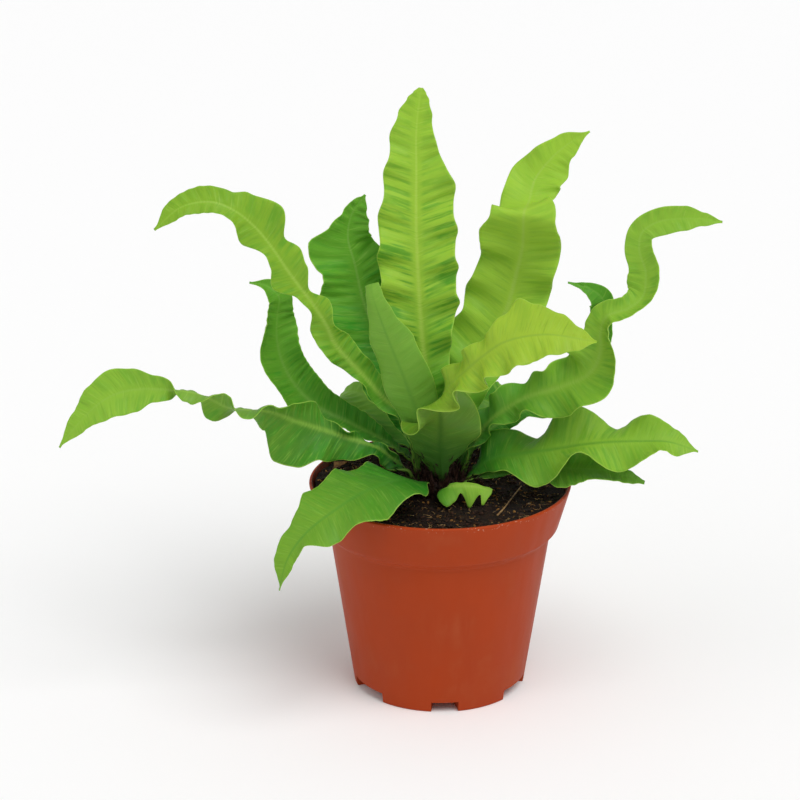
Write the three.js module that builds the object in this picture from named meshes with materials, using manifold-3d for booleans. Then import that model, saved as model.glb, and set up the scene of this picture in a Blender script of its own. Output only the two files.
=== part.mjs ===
// A potted bird's-nest fern with crisped fronds, in a plain round plastic nursery pot.
// Millimetres, +Z up. The middle of the pot's floor is the origin and the plant is seen from -Y.
import * as THREE from 'three';
import { mergeVertices } from 'three/addons/utils/BufferGeometryUtils.js';
import Module from 'manifold-3d';

const wasm = await Module();
wasm.setup();

// --- driving dimensions -------------------------------------------------------------------
const FIT = 0.35;             // gap between a piece and the hole or wall that holds it

const POT_HEIGHT = 98;
const RIM_RADIUS = 60;        // a 12 cm pot, measured over its rim
const BAND_HEIGHT = 20;       // the steep band under the rim
const BAND_FOOT_RADIUS = 54.3;
const SHOULDER_RADIUS = 51.2; // the wall right under the band
const SHOULDER_DROP = 3;      // the slope between the two
const BASE_RADIUS = 39.6;
const WALL = 1.6;
const EDGE_ROUND = 0.6;
const POT_SIDES = 48;

const NOTCH_HEIGHT = 5;       // drainage notches round the base, narrow and wide in turn
const NOTCH_DEPTH = 10;
const NARROW_NOTCH = 18;      // degrees
const WIDE_NOTCH = 32;
const FIRST_NOTCH = 33;       // degrees from +X to the middle of the first, narrow notch
const NOTCH_STEP = 60;
const NOTCH_SIDES = 4;
const DRAIN_RADIUS = 2.5;
const DRAIN_SIDES = 12;

const SOIL_EDGE = 94;         // soil level at the pot's wall
const SOIL_MIDDLE = 92.5;     // and against the crown
const SOIL_LUMP = 0.5;        // height of its lumps, and how fast they turn, in radians a millimetre
const LUMP_ALONG_X = 0.31;
const LUMP_ALONG_Y = 0.27;
const LUMP_ACROSS = 0.19;
const SOIL_RINGS = 5;

const CROWN_RADIUS = 16;
const CROWN_TOP = 102;
const CROWN_SHOULDER = 92;
const CROWN_FOOT = 84;
const CROWN_SIDES = 28;
const CROWN_STEPS = 6;        // rings of its dome

const MARGIN_THICK = 0.7;     // a blade at its margin
const RIB_THICK = 0.6;        // and what its midrib adds below
const STALK_THICK = 1.8;
const STALK_END = 0.12;       // share of the midrib over which the stalk thins to the blade
const COLUMNS = [-1, -0.5, 0, 0.5, 1];
const HOLE_END = 0.16;        // a stalk's hole ends here, out of the crown
const SPAN_STEPS = 40;        // steps in which the midrib is measured between two of its points
const SAME_POINT = 1e-4;      // corners this near to each other are one
const WAVE_STEPS = 200;       // steps in which the waves along a margin are counted
const WAVE_POWER = 1.4;       // how a wave grows from the midrib to the margin
const STEEPEST = 0.92;        // share of a half's width that its wave can rise

// --- fronds -------------------------------------------------------------------------------
// path: the midrib, from the stalk's foot, through the point where it leaves the crown, to the tip.
// The keys of the next five run from 0 at the crown to 1 at the tip:
// faces: the way the upper face looks;
// outline: half-widths on the left and on the right, seen from above with the tip away;
// cup: degrees that the halves fold up;
// ruffle: height of the waves of both margins, or of the left one and the right one;
// pitch: the length of those waves.
// phase shifts the waves of the left and the right margin, lobe widens the blade at their
// crests, and sweep slants them toward the foot.
const FRONDS = [
  { name: 'frond_tall', rows: 42, colour: '#6fae3a',
    path: [[0, 4, 90], [-1, 4, 103], [-5, 6, 134], [-8, 10, 161], [-10, 14, 189], [-11, 18, 213],
      [-11, 22, 237], [-11, 25, 256], [-9, 27, 274]],
    faces: [[0, 0.1, -1, 0.1], [1, 0, -1, 0.1]],
    outline: [[0, 1.5, 1.5], [0.12, 3, 3], [0.3, 13, 12], [0.45, 18, 17.5], [0.62, 17.5, 18],
      [0.75, 15, 17], [0.86, 12, 9], [0.93, 9, 6.5], [0.97, 5.5, 4.5], [0.99, 3, 2.5], [1, 1, 1]],
    cup: [[0, 6]], ruffle: [[0, 0, 0], [0.2, 3, 3], [0.5, 3.5, 4], [0.8, 2, 2.5], [1, 0, 0]],
    pitch: [[0, 19], [0.3, 21], [0.5, 16], [0.7, 20], [1, 13]], phase: [0, 0.4], lobe: 0.04,
    sweep: 0.25 },
  { name: 'frond_upright_left', rows: 36, colour: '#4e9433',
    path: [[-4, 1, 90], [-6, 2, 103], [-17, 10, 133], [-28, 18, 159], [-35, 24, 176], [-39, 27, 193],
      [-42, 28, 205], [-40, 28, 216], [-34, 27, 225]],
    faces: [[0, 0.5, -1, 0.2], [0.7, 0.35, -1, 0.2], [1, 0.3, -1, 0.5]],
    outline: [[0, 1.5, 1.5], [0.1, 5, 5], [0.3, 16, 12], [0.55, 21, 16], [0.74, 19, 14],
      [0.83, 20, 11], [0.87, 10, 9.5], [0.92, 4.5, 8.5], [0.96, 3, 5], [1, 0.5, 0.5]],
    cup: [[0, 12]], ruffle: [[0, 0], [0.3, 3], [0.75, 3], [1, 0]],
    pitch: [[0, 22]], phase: [0, 0.1], lobe: 0, sweep: 0.2 },
  { name: 'frond_upright_right', rows: 42, colour: '#6cad38',
    path: [[4, 1, 90], [5, 3, 103], [12, 14, 132], [22, 22, 153], [30, 26, 170], [34, 27, 185],
      [37, 22, 203], [37, 14, 220], [40, 28, 222], [43, 36, 230], [50, 38, 239], [58, 38, 246],
      [67, 36, 252]],
    faces: [[0, -0.2, -1, 0.2], [0.6, -0.1, -1, 0.3], [0.7, -0.25, -1, 0.3], [1, -0.2, -1, 0.3]],
    outline: [[0, 1.5, 1.5], [0.1, 5, 4], [0.22, 16, 9], [0.3, 22, 12], [0.36, 19, 15],
      [0.43, 21, 17], [0.52, 18, 17.5], [0.62, 20, 17.5], [0.68, 15, 14.5], [0.75, 13, 10],
      [0.82, 12, 13], [0.87, 9, 12], [0.93, 6, 6.5], [1, 0.5, 0.5]],
    cup: [[0, 6]], ruffle: [[0, 0], [0.3, 3], [0.55, 2.5], [0.65, 1], [0.8, 2.5], [1, 0]],
    pitch: [[0, 20]], phase: [0, 0.5], lobe: 0, sweep: 0.2 },
  { name: 'frond_inner', rows: 26, colour: '#62a53a',
    path: [[-1, -4, 90], [-2, -6, 103], [-8, -10, 125], [-12, -12, 139], [-17, -14, 154],
      [-22, -15, 167], [-27, -16, 181], [-30, -15, 190], [-31, -12, 195]],
    faces: [[0, 0.1, 1, 0.3], [1, 0.2, 1, 0.5]],
    outline: [[0, 1.5, 1.5], [0.1, 5, 5], [0.25, 10, 9], [0.5, 12, 12], [0.7, 11, 10],
      [0.85, 6.5, 6.5], [0.95, 4.5, 4.5], [1, 3.5, 3.5]],
    cup: [[0, 12]], ruffle: [[0, 0], [0.5, 0.8], [1, 0.5]],
    pitch: [[0, 30]], phase: [0, 0.5], lobe: 0, sweep: 0.2 },
  { name: 'frond_arch_left', rows: 48, colour: '#63a83a',
    path: [[-9, -2, 90], [-10, -3, 101], [-16, -1, 128], [-26, -3, 139], [-37, -6, 153],
      [-47, -9, 166], [-51, -11, 176], [-58, -13, 188], [-67, -14, 201], [-74, -14, 212],
      [-81, -14, 221], [-90, -15, 229], [-100, -15, 233], [-113, -16, 231], [-125, -17, 221]],
    faces: [[0, 0.7, -0.4, 0.5], [0.2, 0.3, -0.8, 0.4], [0.4, -0.2, -0.9, 0.5],
      [0.7, -0.3, -0.9, 0.7], [1, -0.3, -1, 0.6]],
    outline: [[0, 1.5, 1.5], [0.1, 3, 3], [0.2, 5, 5], [0.3, 4, 7], [0.4, 7, 7.5], [0.45, 8, 4.5],
      [0.5, 3, 7], [0.545, 4, 2.5], [0.6, 10, 8.5], [0.64, 6, 10], [0.675, 5, 7], [0.73, 9.5, 15],
      [0.79, 5.5, 10], [0.82, 5, 7], [0.87, 5, 7], [0.94, 4.5, 5], [1, 0.6, 0.6]],
    cup: [[0, 8]], ruffle: [[0, 0], [0.2, 2], [0.45, 2.5], [0.55, 1], [0.7, 2.5], [0.85, 1.5], [1, 0]],
    pitch: [[0, 20], [0.5, 24], [0.75, 30], [1, 30]], phase: [0.62, 0.12], lobe: 0, sweep: 0 },
  { name: 'frond_rear_left', rows: 34, colour: '#4f9a31',
    path: [[-8, 4, 90], [-9, 5, 101], [-24, 8, 113], [-41, 12, 121], [-58, 14, 130], [-69, 15, 143],
      [-74, 15, 158], [-74, 15, 172], [-73, 14, 181], [-78, 14, 186], [-86, 13, 188]],
    faces: [[0, 0.9, -0.2, 0.4], [0.2, 0.4, -0.5, 0.9], [0.4, 0.4, -0.8, 0.4], [0.6, 0.5, -0.9, 0.2],
      [0.8, 0.6, -0.8, 0], [1, 0, -0.8, 0.8]],
    outline: [[0, 1.5, 1.5], [0.1, 3, 3], [0.3, 8, 8], [0.5, 13, 11], [0.75, 13, 10],
      [0.88, 7, 6], [1, 0.5, 0.5]],
    cup: [[0, 15], [0.4, 30], [1, 25]], ruffle: [[0, 0], [0.3, 1.5], [0.7, 1.5], [1, 0]],
    pitch: [[0, 30]], phase: [0, 0.5], lobe: 0, sweep: 0.2 },
  { name: 'frond_long_left', rows: 48, colour: '#5fa536',
    path: [[-10, -6, 90], [-12, -7, 100], [-27, -9, 116], [-45, -12, 124], [-64, -16, 132],
      [-77, -19, 138], [-87, -21, 139], [-95, -22, 141], [-104, -23, 146], [-114, -24, 149],
      [-131, -26, 151], [-142, -27, 149.5], [-150, -28, 145.5], [-160, -29, 136],
      [-169, -30, 125]],
    faces: [[0, 0.9, 0.15, 0.5], [0.15, 0.2, -0.7, 0.7], [0.25, -0.1, -0.9, 0.5],
      [0.38, -0.1, -0.9, 0.2], [0.42, 0, -0.9, -0.5], [0.48, 0, 0.1, -1], [0.55, 0, -0.9, -0.3],
      [0.63, 0, 0.3, -1], [0.7, 0, -0.9, 0.3], [1, -0.3, -0.8, 0.6]],
    outline: [[0, 1.5, 1.5], [0.08, 6, 3], [0.2, 10, 4], [0.27, 15, 5], [0.32, 20, 11],
      [0.36, 20.5, 10], [0.41, 11, 8], [0.48, 8, 8], [0.55, 9.5, 8.5], [0.6, 6, 6],
      [0.66, 4.5, 4.5], [0.71, 6, 6], [0.76, 10, 9.5], [0.8, 10.5, 11], [0.85, 9, 9], [0.92, 5, 5],
      [1, 0.5, 0.5]],
    cup: [[0, 8], [0.44, 12], [0.58, 14], [0.65, 28], [0.72, 8]],
    ruffle: [[0, 0], [0.1, 4], [0.4, 3], [0.5, 1], [1, 0]],
    pitch: [[0, 20], [0.2, 24], [0.34, 34]], phase: [0.1, 0.5], lobe: 0, sweep: 0.1 },
  { name: 'frond_low_left', rows: 34, colour: '#4f9f34',
    path: [[-6, -10, 90], [-8, -12, 99], [-17, -28, 109], [-33, -47, 111], [-47, -58, 106],
      [-59, -64, 98], [-67, -66, 87], [-71, -66, 72]],
    faces: [[0, 0.4, 0.6, 0.6], [0.2, 0, -0.2, 1], [0.5, -0.2, -0.5, 0.85], [1, -0.6, -0.9, 0.3]],
    outline: [[0, 1.5, 1.5], [0.04, 2.5, 5], [0.1, 8, 14], [0.2, 15, 19], [0.35, 18, 19],
      [0.5, 18, 19], [0.62, 14, 16], [0.7, 12, 12], [0.78, 5, 9], [0.88, 3.5, 6], [1, 0.5, 0.5]],
    cup: [[0, 0]], ruffle: [[0, 0, 0], [0.15, 2, 1.5], [0.6, 2.5, 1.2], [1, 0.5, 0.5]],
    pitch: [[0, 30], [0.5, 24], [1, 24]], phase: [0.2, 0.6], lobe: 0.08, sweep: 0.2 },
  { name: 'frond_front', rows: 48, colour: '#86c02f',
    path: [[1, -8, 90], [1, -9, 102], [0, -12, 118], [0, -16, 131], [-1, -20, 141],
      [2, -24, 150], [10, -29, 160], [18, -34, 169], [27, -39, 177], [44, -44, 182],
      [66, -48, 180]],
    faces: [[0, 0.1, 0.9, 0.3], [0.2, 0.1, 0.9, 0.3], [0.32, -0.7, 0.2, 0.6], [0.42, -0.6, -0.4, 0.6],
      [0.6, -0.4, -0.7, 0.6], [1, 0, -0.8, 0.7]],
    outline: [[0, 1.5, 1.5], [0.04, 3, 3], [0.12, 12, 13], [0.2, 18, 18], [0.27, 17, 18],
      [0.34, 12, 15], [0.42, 9, 13], [0.55, 8, 13], [0.64, 8, 14], [0.7, 12, 15],
      [0.75, 18, 14], [0.8, 14, 12], [0.87, 10, 10], [0.94, 5, 6], [1, 0.5, 0.5]],
    cup: [[0, 5]], ruffle: [[0, 0, 0], [0.18, 1, 1], [0.28, 2, 5], [0.55, 3, 5], [0.68, 1, 2],
      [1, 0, 0]],
    pitch: [[0, 40], [0.25, 22], [0.35, 17], [1, 17]], phase: [0, 0.5], lobe: 0, sweep: 0 },
  { name: 'frond_far_right', rows: 50, colour: '#5da335',
    path: [[9, 0, 90], [10, -1, 101], [21, -8, 128], [38, -12, 142], [53, -15, 148],
      [65, -18, 155], [70, -20, 165], [70, -21, 176], [72, -22, 183], [82, -22, 187],
      [88, -20, 192], [89, -18, 202], [86, -17, 212], [87, -17, 220], [94, -18, 225],
      [107, -20, 227], [121, -22, 226]],
    faces: [[0, -0.8, 0.1, 0.5], [0.15, -0.3, -0.7, 0.6], [0.32, -0.9, -0.7, 0.3],
      [0.42, -0.3, -0.9, 0.4], [0.5, -0.5, -0.9, 0.2], [0.58, -0.5, -0.6, 0.7],
      [0.67, -0.6, -0.8, 0.3], [0.78, -0.3, -1, 0], [0.85, -0.3, -0.9, 0.2], [1, 0, -0.9, 0.5]],
    outline: [[0, 1.5, 1.5], [0.06, 3, 2.5], [0.15, 9, 5], [0.24, 10, 8], [0.3, 10, 12],
      [0.36, 12, 14], [0.42, 14, 15], [0.47, 14, 10], [0.52, 8, 8], [0.62, 6, 6], [0.7, 8.5, 7],
      [0.76, 6.5, 7], [0.82, 6, 5.5], [0.87, 6, 6.5], [0.92, 5.5, 5.5], [0.96, 3, 3], [1, 0.5, 0.5]],
    cup: [[0, 10], [0.35, 10], [0.5, 25], [0.62, 28], [0.7, 14], [1, 10]],
    ruffle: [[0, 0, 0], [0.12, 5, 3], [0.35, 7, 5], [0.43, 3, 3], [0.5, 1, 1], [1, 0, 0]],
    pitch: [[0, 18], [0.2, 18], [0.3, 26], [1, 24]], phase: [0, 0.5], lobe: 0, sweep: 0.1 },
  { name: 'frond_rear_right', rows: 28, colour: '#4c9131',
    path: [[7, 5, 90], [8, 6, 101], [22, 8, 119], [39, 10, 128], [56, 10, 133], [68, 10, 145],
      [72, 10, 160], [74, 10, 174], [73, 10, 181], [67, 10, 186], [57, 10, 189]],
    faces: [[0, -0.8, -0.5, 0.4], [0.7, -0.6, -0.8, 0.3], [1, 0, -0.8, 0.5]],
    outline: [[0, 1.5, 1.5], [0.1, 3, 3], [0.3, 6, 6], [0.6, 6, 6], [0.85, 7, 5], [1, 0.5, 0.5]],
    cup: [[0, 15]], ruffle: [[0, 0], [0.3, 2], [0.7, 1.5], [1, 0]],
    pitch: [[0, 22]], phase: [0, 0.5], lobe: 0, sweep: 0.2 },
  { name: 'frond_low_right', rows: 38, colour: '#63aa33',
    path: [[10, -5, 90], [12, -6, 100], [22, -12, 112], [37, -16, 117], [51, -19, 120],
      [64, -21, 123], [76, -23, 125], [89, -25, 126], [101, -26, 126], [114, -27, 122]],
    faces: [[0, -0.9, 0.2, 0.5], [0.14, -0.3, -0.6, 0.8], [0.3, 0, -0.5, 0.85],
      [0.5, 0.1, -0.5, 0.85], [1, 0.1, -0.7, 0.8]],
    outline: [[0, 1.5, 1.5], [0.05, 6, 3], [0.12, 12, 5], [0.2, 13, 10], [0.34, 15, 17],
      [0.5, 19, 14], [0.67, 13, 14], [0.8, 12, 11], [0.9, 7, 7], [1, 0.5, 0.5]],
    cup: [[0, 5]], ruffle: [[0, 0, 0], [0.1, 2, 0.5], [0.2, 3, 2], [0.34, 8, 7], [0.6, 8, 8],
      [0.8, 5, 5], [1, 0, 0]],
    pitch: [[0, 24], [0.2, 26], [0.3, 38], [0.6, 40], [0.75, 32], [1, 30]],
    phase: [0.5, 0.42], lobe: 0, sweep: 0.1 },
  { name: 'frond_under_right', rows: 26, colour: '#4a8f30',
    path: [[7, -10, 90], [9, -12, 99], [27, -14, 107], [44, -16, 109], [60, -20, 111],
      [75, -23, 111], [91, -24, 106]],
    faces: [[0, -0.7, 0.6, 0.4], [0.3, -0.1, -0.5, 0.9], [1, 0, -0.6, 0.8]],
    outline: [[0, 1.5, 1.5], [0.2, 3, 2], [0.42, 5, 3], [0.55, 9, 10], [0.75, 7, 8],
      [0.9, 3, 4], [1, 1, 1]],
    cup: [[0, 10]], ruffle: [[0, 0], [0.3, 2], [0.6, 3], [1, 0]],
    pitch: [[0, 34]], phase: [0, 0.5], lobe: 0, sweep: 0.2 },
  { name: 'frond_young_front', rows: 26, colour: '#6db437',
    path: [[3, -13, 90], [2, -14, 98], [3, -18, 101.5], [9, -20, 103], [16, -20.5, 102.5],
      [23, -22, 101]],
    faces: [[0, -0.2, 1, 0.3], [0.2, 0, -0.4, 1], [0.4, 0, -0.8, 0.7], [1, 0.2, -0.8, 0.6]],
    outline: [[0, 1.5, 1.5], [0.1, 2, 3], [0.26, 2, 11], [0.36, 2, 8], [0.46, 1.5, 3.5],
      [0.65, 1.5, 10], [0.83, 1.5, 3.5], [0.92, 1.5, 8], [1, 1, 1.5]],
    cup: [[0, -10]], ruffle: [[0, 0, 0], [0.3, 0.5, 1.5], [0.9, 0.5, 1.5], [1, 0, 0]],
    pitch: [[0, 12]], phase: [0, 0.5], lobe: 0, sweep: 0.1 },
  { name: 'frond_back_left', rows: 22, colour: '#4a9030',
    path: [[-6, 9, 90], [-7, 10, 100], [-18, 22, 115], [-31, 34, 125], [-42, 42, 126], [-48, 48, 120]],
    faces: [[0, 0.6, -0.6, 0.4], [0.4, 0.2, -0.4, 0.9], [1, 0.2, -0.5, 0.9]],
    outline: [[0, 1.5, 1.5], [0.08, 4, 7], [0.25, 9, 13], [0.45, 15, 14], [0.6, 17, 13], [0.8, 13, 8],
      [1, 0.5, 0.5]],
    cup: [[0, 12]], ruffle: [[0, 0], [0.2, 2], [0.6, 3], [1, 0]],
    pitch: [[0, 22]], phase: [0, 0.5], lobe: 0, sweep: 0.2 },
  { name: 'frond_back', rows: 34, colour: '#4c9232',
    path: [[0, 9, 90], [0, 11, 102], [-1, 24, 125], [-4, 46, 148], [-7, 70, 160], [-9, 92, 156],
      [-10, 108, 142]],
    faces: [[0, 0, -0.7, 0.7], [0.5, 0, -0.6, 1], [1, 0, 0.5, 0.8]],
    outline: [[0, 1.5, 1.5], [0.1, 3, 3], [0.35, 11, 11], [0.6, 14, 14], [0.85, 10, 10],
      [1, 0.5, 0.5]],
    cup: [[0, 10]], ruffle: [[0, 0], [0.2, 3], [0.7, 4], [1, 0.5]],
    pitch: [[0, 22]], phase: [0, 0.4], lobe: 0.05, sweep: 0.2 },
  { name: 'frond_back_right', rows: 28, colour: '#4f9533',
    path: [[6, 10, 90], [7, 12, 100], [16, 26, 112], [28, 44, 118], [39, 62, 115], [46, 78, 104]],
    faces: [[0, -0.5, -0.6, 0.4], [0.5, 0, -0.2, 1], [1, 0.3, 0.5, 0.8]],
    outline: [[0, 1.5, 1.5], [0.08, 6, 6], [0.25, 12, 11], [0.65, 13, 13], [0.85, 8, 8],
      [1, 0.5, 0.5]],
    cup: [[0, 10]], ruffle: [[0, 0], [0.2, 3], [0.7, 4], [1, 0.5]],
    pitch: [[0, 24]], phase: [0, 0.4], lobe: 0.05, sweep: 0.2 },
];

// --- small helpers ------------------------------------------------------------------------
const vector = (xyz) => new THREE.Vector3(...xyz);
const ease = (from, to, x) => THREE.MathUtils.smoothstep(x, from, to);

// The values between two keys of [[t, value, ...], ...], eased from one key to the next.
function along(keys, t) {
  const next = keys.findIndex((key) => key[0] > t);
  if (next === 0) return keys[0].slice(1);
  if (next < 0) return keys[keys.length - 1].slice(1);
  const from = keys[next - 1];
  const to = keys[next];
  const w = ease(from[0], to[0], t);
  return from.slice(1).map((value, i) => value + (to[i + 1] - value) * w);
}

function solidOf(geometry) {
  const bare = geometry.clone();
  bare.deleteAttribute('normal');
  bare.deleteAttribute('uv');
  const merged = mergeVertices(bare, SAME_POINT);
  return new wasm.Manifold(new wasm.Mesh({
    numProp: 3,
    vertProperties: merged.attributes.position.array,
    triVerts: Uint32Array.from(merged.index.array),
  }));
}

function geometryOf(solid) {
  const mesh = solid.getMesh();
  const geometry = new THREE.BufferGeometry();
  geometry.setAttribute('position', new THREE.BufferAttribute(mesh.vertProperties, 3));
  geometry.setIndex(new THREE.BufferAttribute(mesh.triVerts, 1));
  return geometry;
}

// A closed ring of [radius, height] points turned about +Z; it starts and ends on the axis.
function turned(profile, sides) {
  const points = profile.map(([radius, height]) => new THREE.Vector2(radius, height));
  return new THREE.LatheGeometry(points, sides).rotateX(Math.PI / 2);
}

// The block of a ring between two radii and two angles, standing between two heights.
function ringBlock(inner, outer, middle, spread, low, high) {
  const start = THREE.MathUtils.degToRad(middle - spread / 2);
  const sweep = THREE.MathUtils.degToRad(spread);
  const corners = [];
  for (let i = 0; i <= NOTCH_SIDES; i += 1) {
    const angle = start + sweep * i / NOTCH_SIDES;
    corners.push(new THREE.Vector2(outer * Math.cos(angle), outer * Math.sin(angle)));
    corners.unshift(new THREE.Vector2(inner * Math.cos(angle), inner * Math.sin(angle)));
  }
  const block = new THREE.ExtrudeGeometry(new THREE.Shape(corners),
    { depth: high - low, bevelEnabled: false });
  return solidOf(block.translate(0, 0, low));
}

// --- pot ----------------------------------------------------------------------------------
// The outside of the pot at a height: the wall, and above the shoulder the band.
const bandFoot = POT_HEIGHT - BAND_HEIGHT;
const wallSlope = (SHOULDER_RADIUS - BASE_RADIUS) / bandFoot;
const bandSlope = (RIM_RADIUS - BAND_FOOT_RADIUS) / BAND_HEIGHT;
const wallRadius = (z) => BASE_RADIUS + wallSlope * z;
const bandRadius = (z) => BAND_FOOT_RADIUS + bandSlope * (z - bandFoot);

const outside = [
  [0, 0],
  [BASE_RADIUS - EDGE_ROUND, 0],
  [wallRadius(EDGE_ROUND), EDGE_ROUND],
  [wallRadius(bandFoot - SHOULDER_DROP), bandFoot - SHOULDER_DROP],
  [bandRadius(bandFoot), bandFoot],
  [bandRadius(POT_HEIGHT - EDGE_ROUND), POT_HEIGHT - EDGE_ROUND],
  [RIM_RADIUS - EDGE_ROUND, POT_HEIGHT],
  [0, POT_HEIGHT],
];

// The room inside follows the outside a wall further in, and a spare further for what fills it.
function roomProfile(spare, top) {
  const inset = WALL + spare;
  return [
    [0, inset],
    [wallRadius(inset) - inset, inset],
    [wallRadius(bandFoot - SHOULDER_DROP) - inset, bandFoot - SHOULDER_DROP],
    [bandRadius(bandFoot) - inset, bandFoot],
    [bandRadius(top) - inset, top],
  ];
}

// The notches as cut from outside or, grown by a wall, as they stand up inside.
function notchBlocks(grow) {
  const blocks = [];
  for (let middle = FIRST_NOTCH; middle < FIRST_NOTCH + 360; middle += NOTCH_STEP) {
    const wide = (middle - FIRST_NOTCH) % (2 * NOTCH_STEP) > 0;
    const spread = (wide ? WIDE_NOTCH : NARROW_NOTCH)
      + 2 * THREE.MathUtils.radToDeg(grow / BASE_RADIUS);
    blocks.push(ringBlock(BASE_RADIUS - NOTCH_DEPTH - grow, BASE_RADIUS + NOTCH_DEPTH, middle,
      spread, -NOTCH_HEIGHT, NOTCH_HEIGHT + grow));
  }
  return wasm.Manifold.union(blocks);
}

function drainHoles() {
  const holes = [];
  for (let middle = FIRST_NOTCH; middle < FIRST_NOTCH + 360; middle += NOTCH_STEP) {
    const angle = THREE.MathUtils.degToRad(middle);
    const radius = BASE_RADIUS - NOTCH_DEPTH / 2 - WALL;
    holes.push(wasm.Manifold.cylinder(NOTCH_HEIGHT, DRAIN_RADIUS, DRAIN_RADIUS, DRAIN_SIDES)
      .translate(radius * Math.cos(angle), radius * Math.sin(angle), NOTCH_HEIGHT - WALL));
  }
  return wasm.Manifold.union(holes);
}

function potSolid() {
  const room = turned([...roomProfile(0, POT_HEIGHT + 1), [0, POT_HEIGHT + 1]], POT_SIDES);
  return solidOf(turned(outside, POT_SIDES))
    .subtract(notchBlocks(0))
    .subtract(solidOf(room).subtract(notchBlocks(WALL)))
    .subtract(drainHoles());
}

// --- soil and crown -----------------------------------------------------------------------
// The soil fills the pot, lies a little higher at the wall and is lumpy on top.
const soilEdgeRadius = bandRadius(SOIL_EDGE) - WALL - FIT;

function soilLump(x, y) {
  return SOIL_LUMP * (Math.sin(LUMP_ALONG_X * x + 1) * Math.cos(LUMP_ALONG_Y * y)
    + Math.sin(LUMP_ACROSS * (x - y)));
}

function soilSolid() {
  const profile = roomProfile(FIT, SOIL_EDGE);
  for (let ring = SOIL_RINGS - 1; ring >= 0; ring -= 1) {
    const share = ring / SOIL_RINGS;
    profile.push([soilEdgeRadius * share,
      SOIL_MIDDLE + (SOIL_EDGE - SOIL_MIDDLE) * share * share]);
  }
  const geometry = turned(profile, POT_SIDES);
  const place = geometry.attributes.position;
  for (let i = 0; i < place.count; i += 1) {
    const onTop = place.getZ(i) > bandFoot + WALL;
    const radius = Math.hypot(place.getX(i), place.getY(i));
    if (onTop && radius < soilEdgeRadius - SAME_POINT) {
      place.setZ(i, place.getZ(i) + soilLump(place.getX(i), place.getY(i)));
    }
  }
  const hole = wasm.Manifold.cylinder(POT_HEIGHT, CROWN_RADIUS + FIT, CROWN_RADIUS + FIT, CROWN_SIDES)
    .translate(0, 0, CROWN_FOOT - FIT);
  return solidOf(geometry).subtract(notchBlocks(WALL + FIT)).subtract(hole);
}

// The crown is a low dome of old stalk bases, with a hole for the stalk of every frond.
function crownSolid() {
  const profile = [[0, CROWN_FOOT], [CROWN_RADIUS, CROWN_FOOT]];
  const rise = CROWN_TOP - CROWN_SHOULDER;
  for (let step = 0; step < CROWN_STEPS; step += 1) {
    const angle = Math.PI / 2 * step / CROWN_STEPS;
    profile.push([CROWN_RADIUS * Math.cos(angle), CROWN_SHOULDER + rise * Math.sin(angle)]);
  }
  profile.push([0, CROWN_TOP]);
  const holes = FRONDS.map((frond) => solidOf(frondGeometry(frond, FIT)));
  return solidOf(turned(profile, CROWN_SIDES)).subtract(wasm.Manifold.union(holes));
}

// --- a frond ------------------------------------------------------------------------------
// How many waves the margin has made at t, by adding up the length over the pitch.
function wavesAt(frond, length, t) {
  let waves = 0;
  for (let i = 0; i < WAVE_STEPS * t; i += 1) {
    waves += length / WAVE_STEPS / along(frond.pitch, (i + 0.5) / WAVE_STEPS)[0];
  }
  return waves;
}

// The points across a blade's middle surface at a row, from its left margin to its right.
function bladeRow(frond, curve, neck, t, spare) {
  const share = THREE.MathUtils.clamp(neck + (1 - neck) * t, 0, 1);
  const middle = curve.getPointAt(share);
  const ahead = curve.getTangentAt(share);
  const up = vector(along(frond.faces, t));
  up.addScaledVector(ahead, -up.dot(ahead)).normalize();
  const side = new THREE.Vector3().crossVectors(ahead, up);
  const [left, right] = along(frond.outline, t);
  const cup = THREE.MathUtils.degToRad(along(frond.cup, t)[0]);
  const ruffle = along(frond.ruffle, t);
  const waves = wavesAt(frond, curve.getLength() * (1 - neck), t);
  return COLUMNS.map((s) => {
    const across = Math.abs(s);
    const turn = 2 * Math.PI * (waves + frond.phase[s < 0 ? 0 : 1] - frond.sweep * across);
    const height = t > 0 ? ruffle[s < 0 ? 0 : ruffle.length - 1] : 0;
    const grown = 1 + frond.lobe * Math.cos(turn) * across * across * Math.min(1, height);
    const reach = across * ((s < 0 ? left : right) * grown + spare);
    const steepest = STEEPEST * reach;
    const wave = THREE.MathUtils.clamp(height * across ** WAVE_POWER * Math.sin(turn),
      -steepest, steepest);
    const flat = Math.sqrt(reach * reach - wave * wave);
    const fold = cup * across;
    const sideways = Math.sign(s) * (flat * Math.cos(fold) - wave * Math.sin(fold));
    const lift = flat * Math.sin(fold) + wave * Math.cos(fold);
    return middle.clone().addScaledVector(side, sideways).addScaledVector(up, lift);
  });
}

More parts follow.
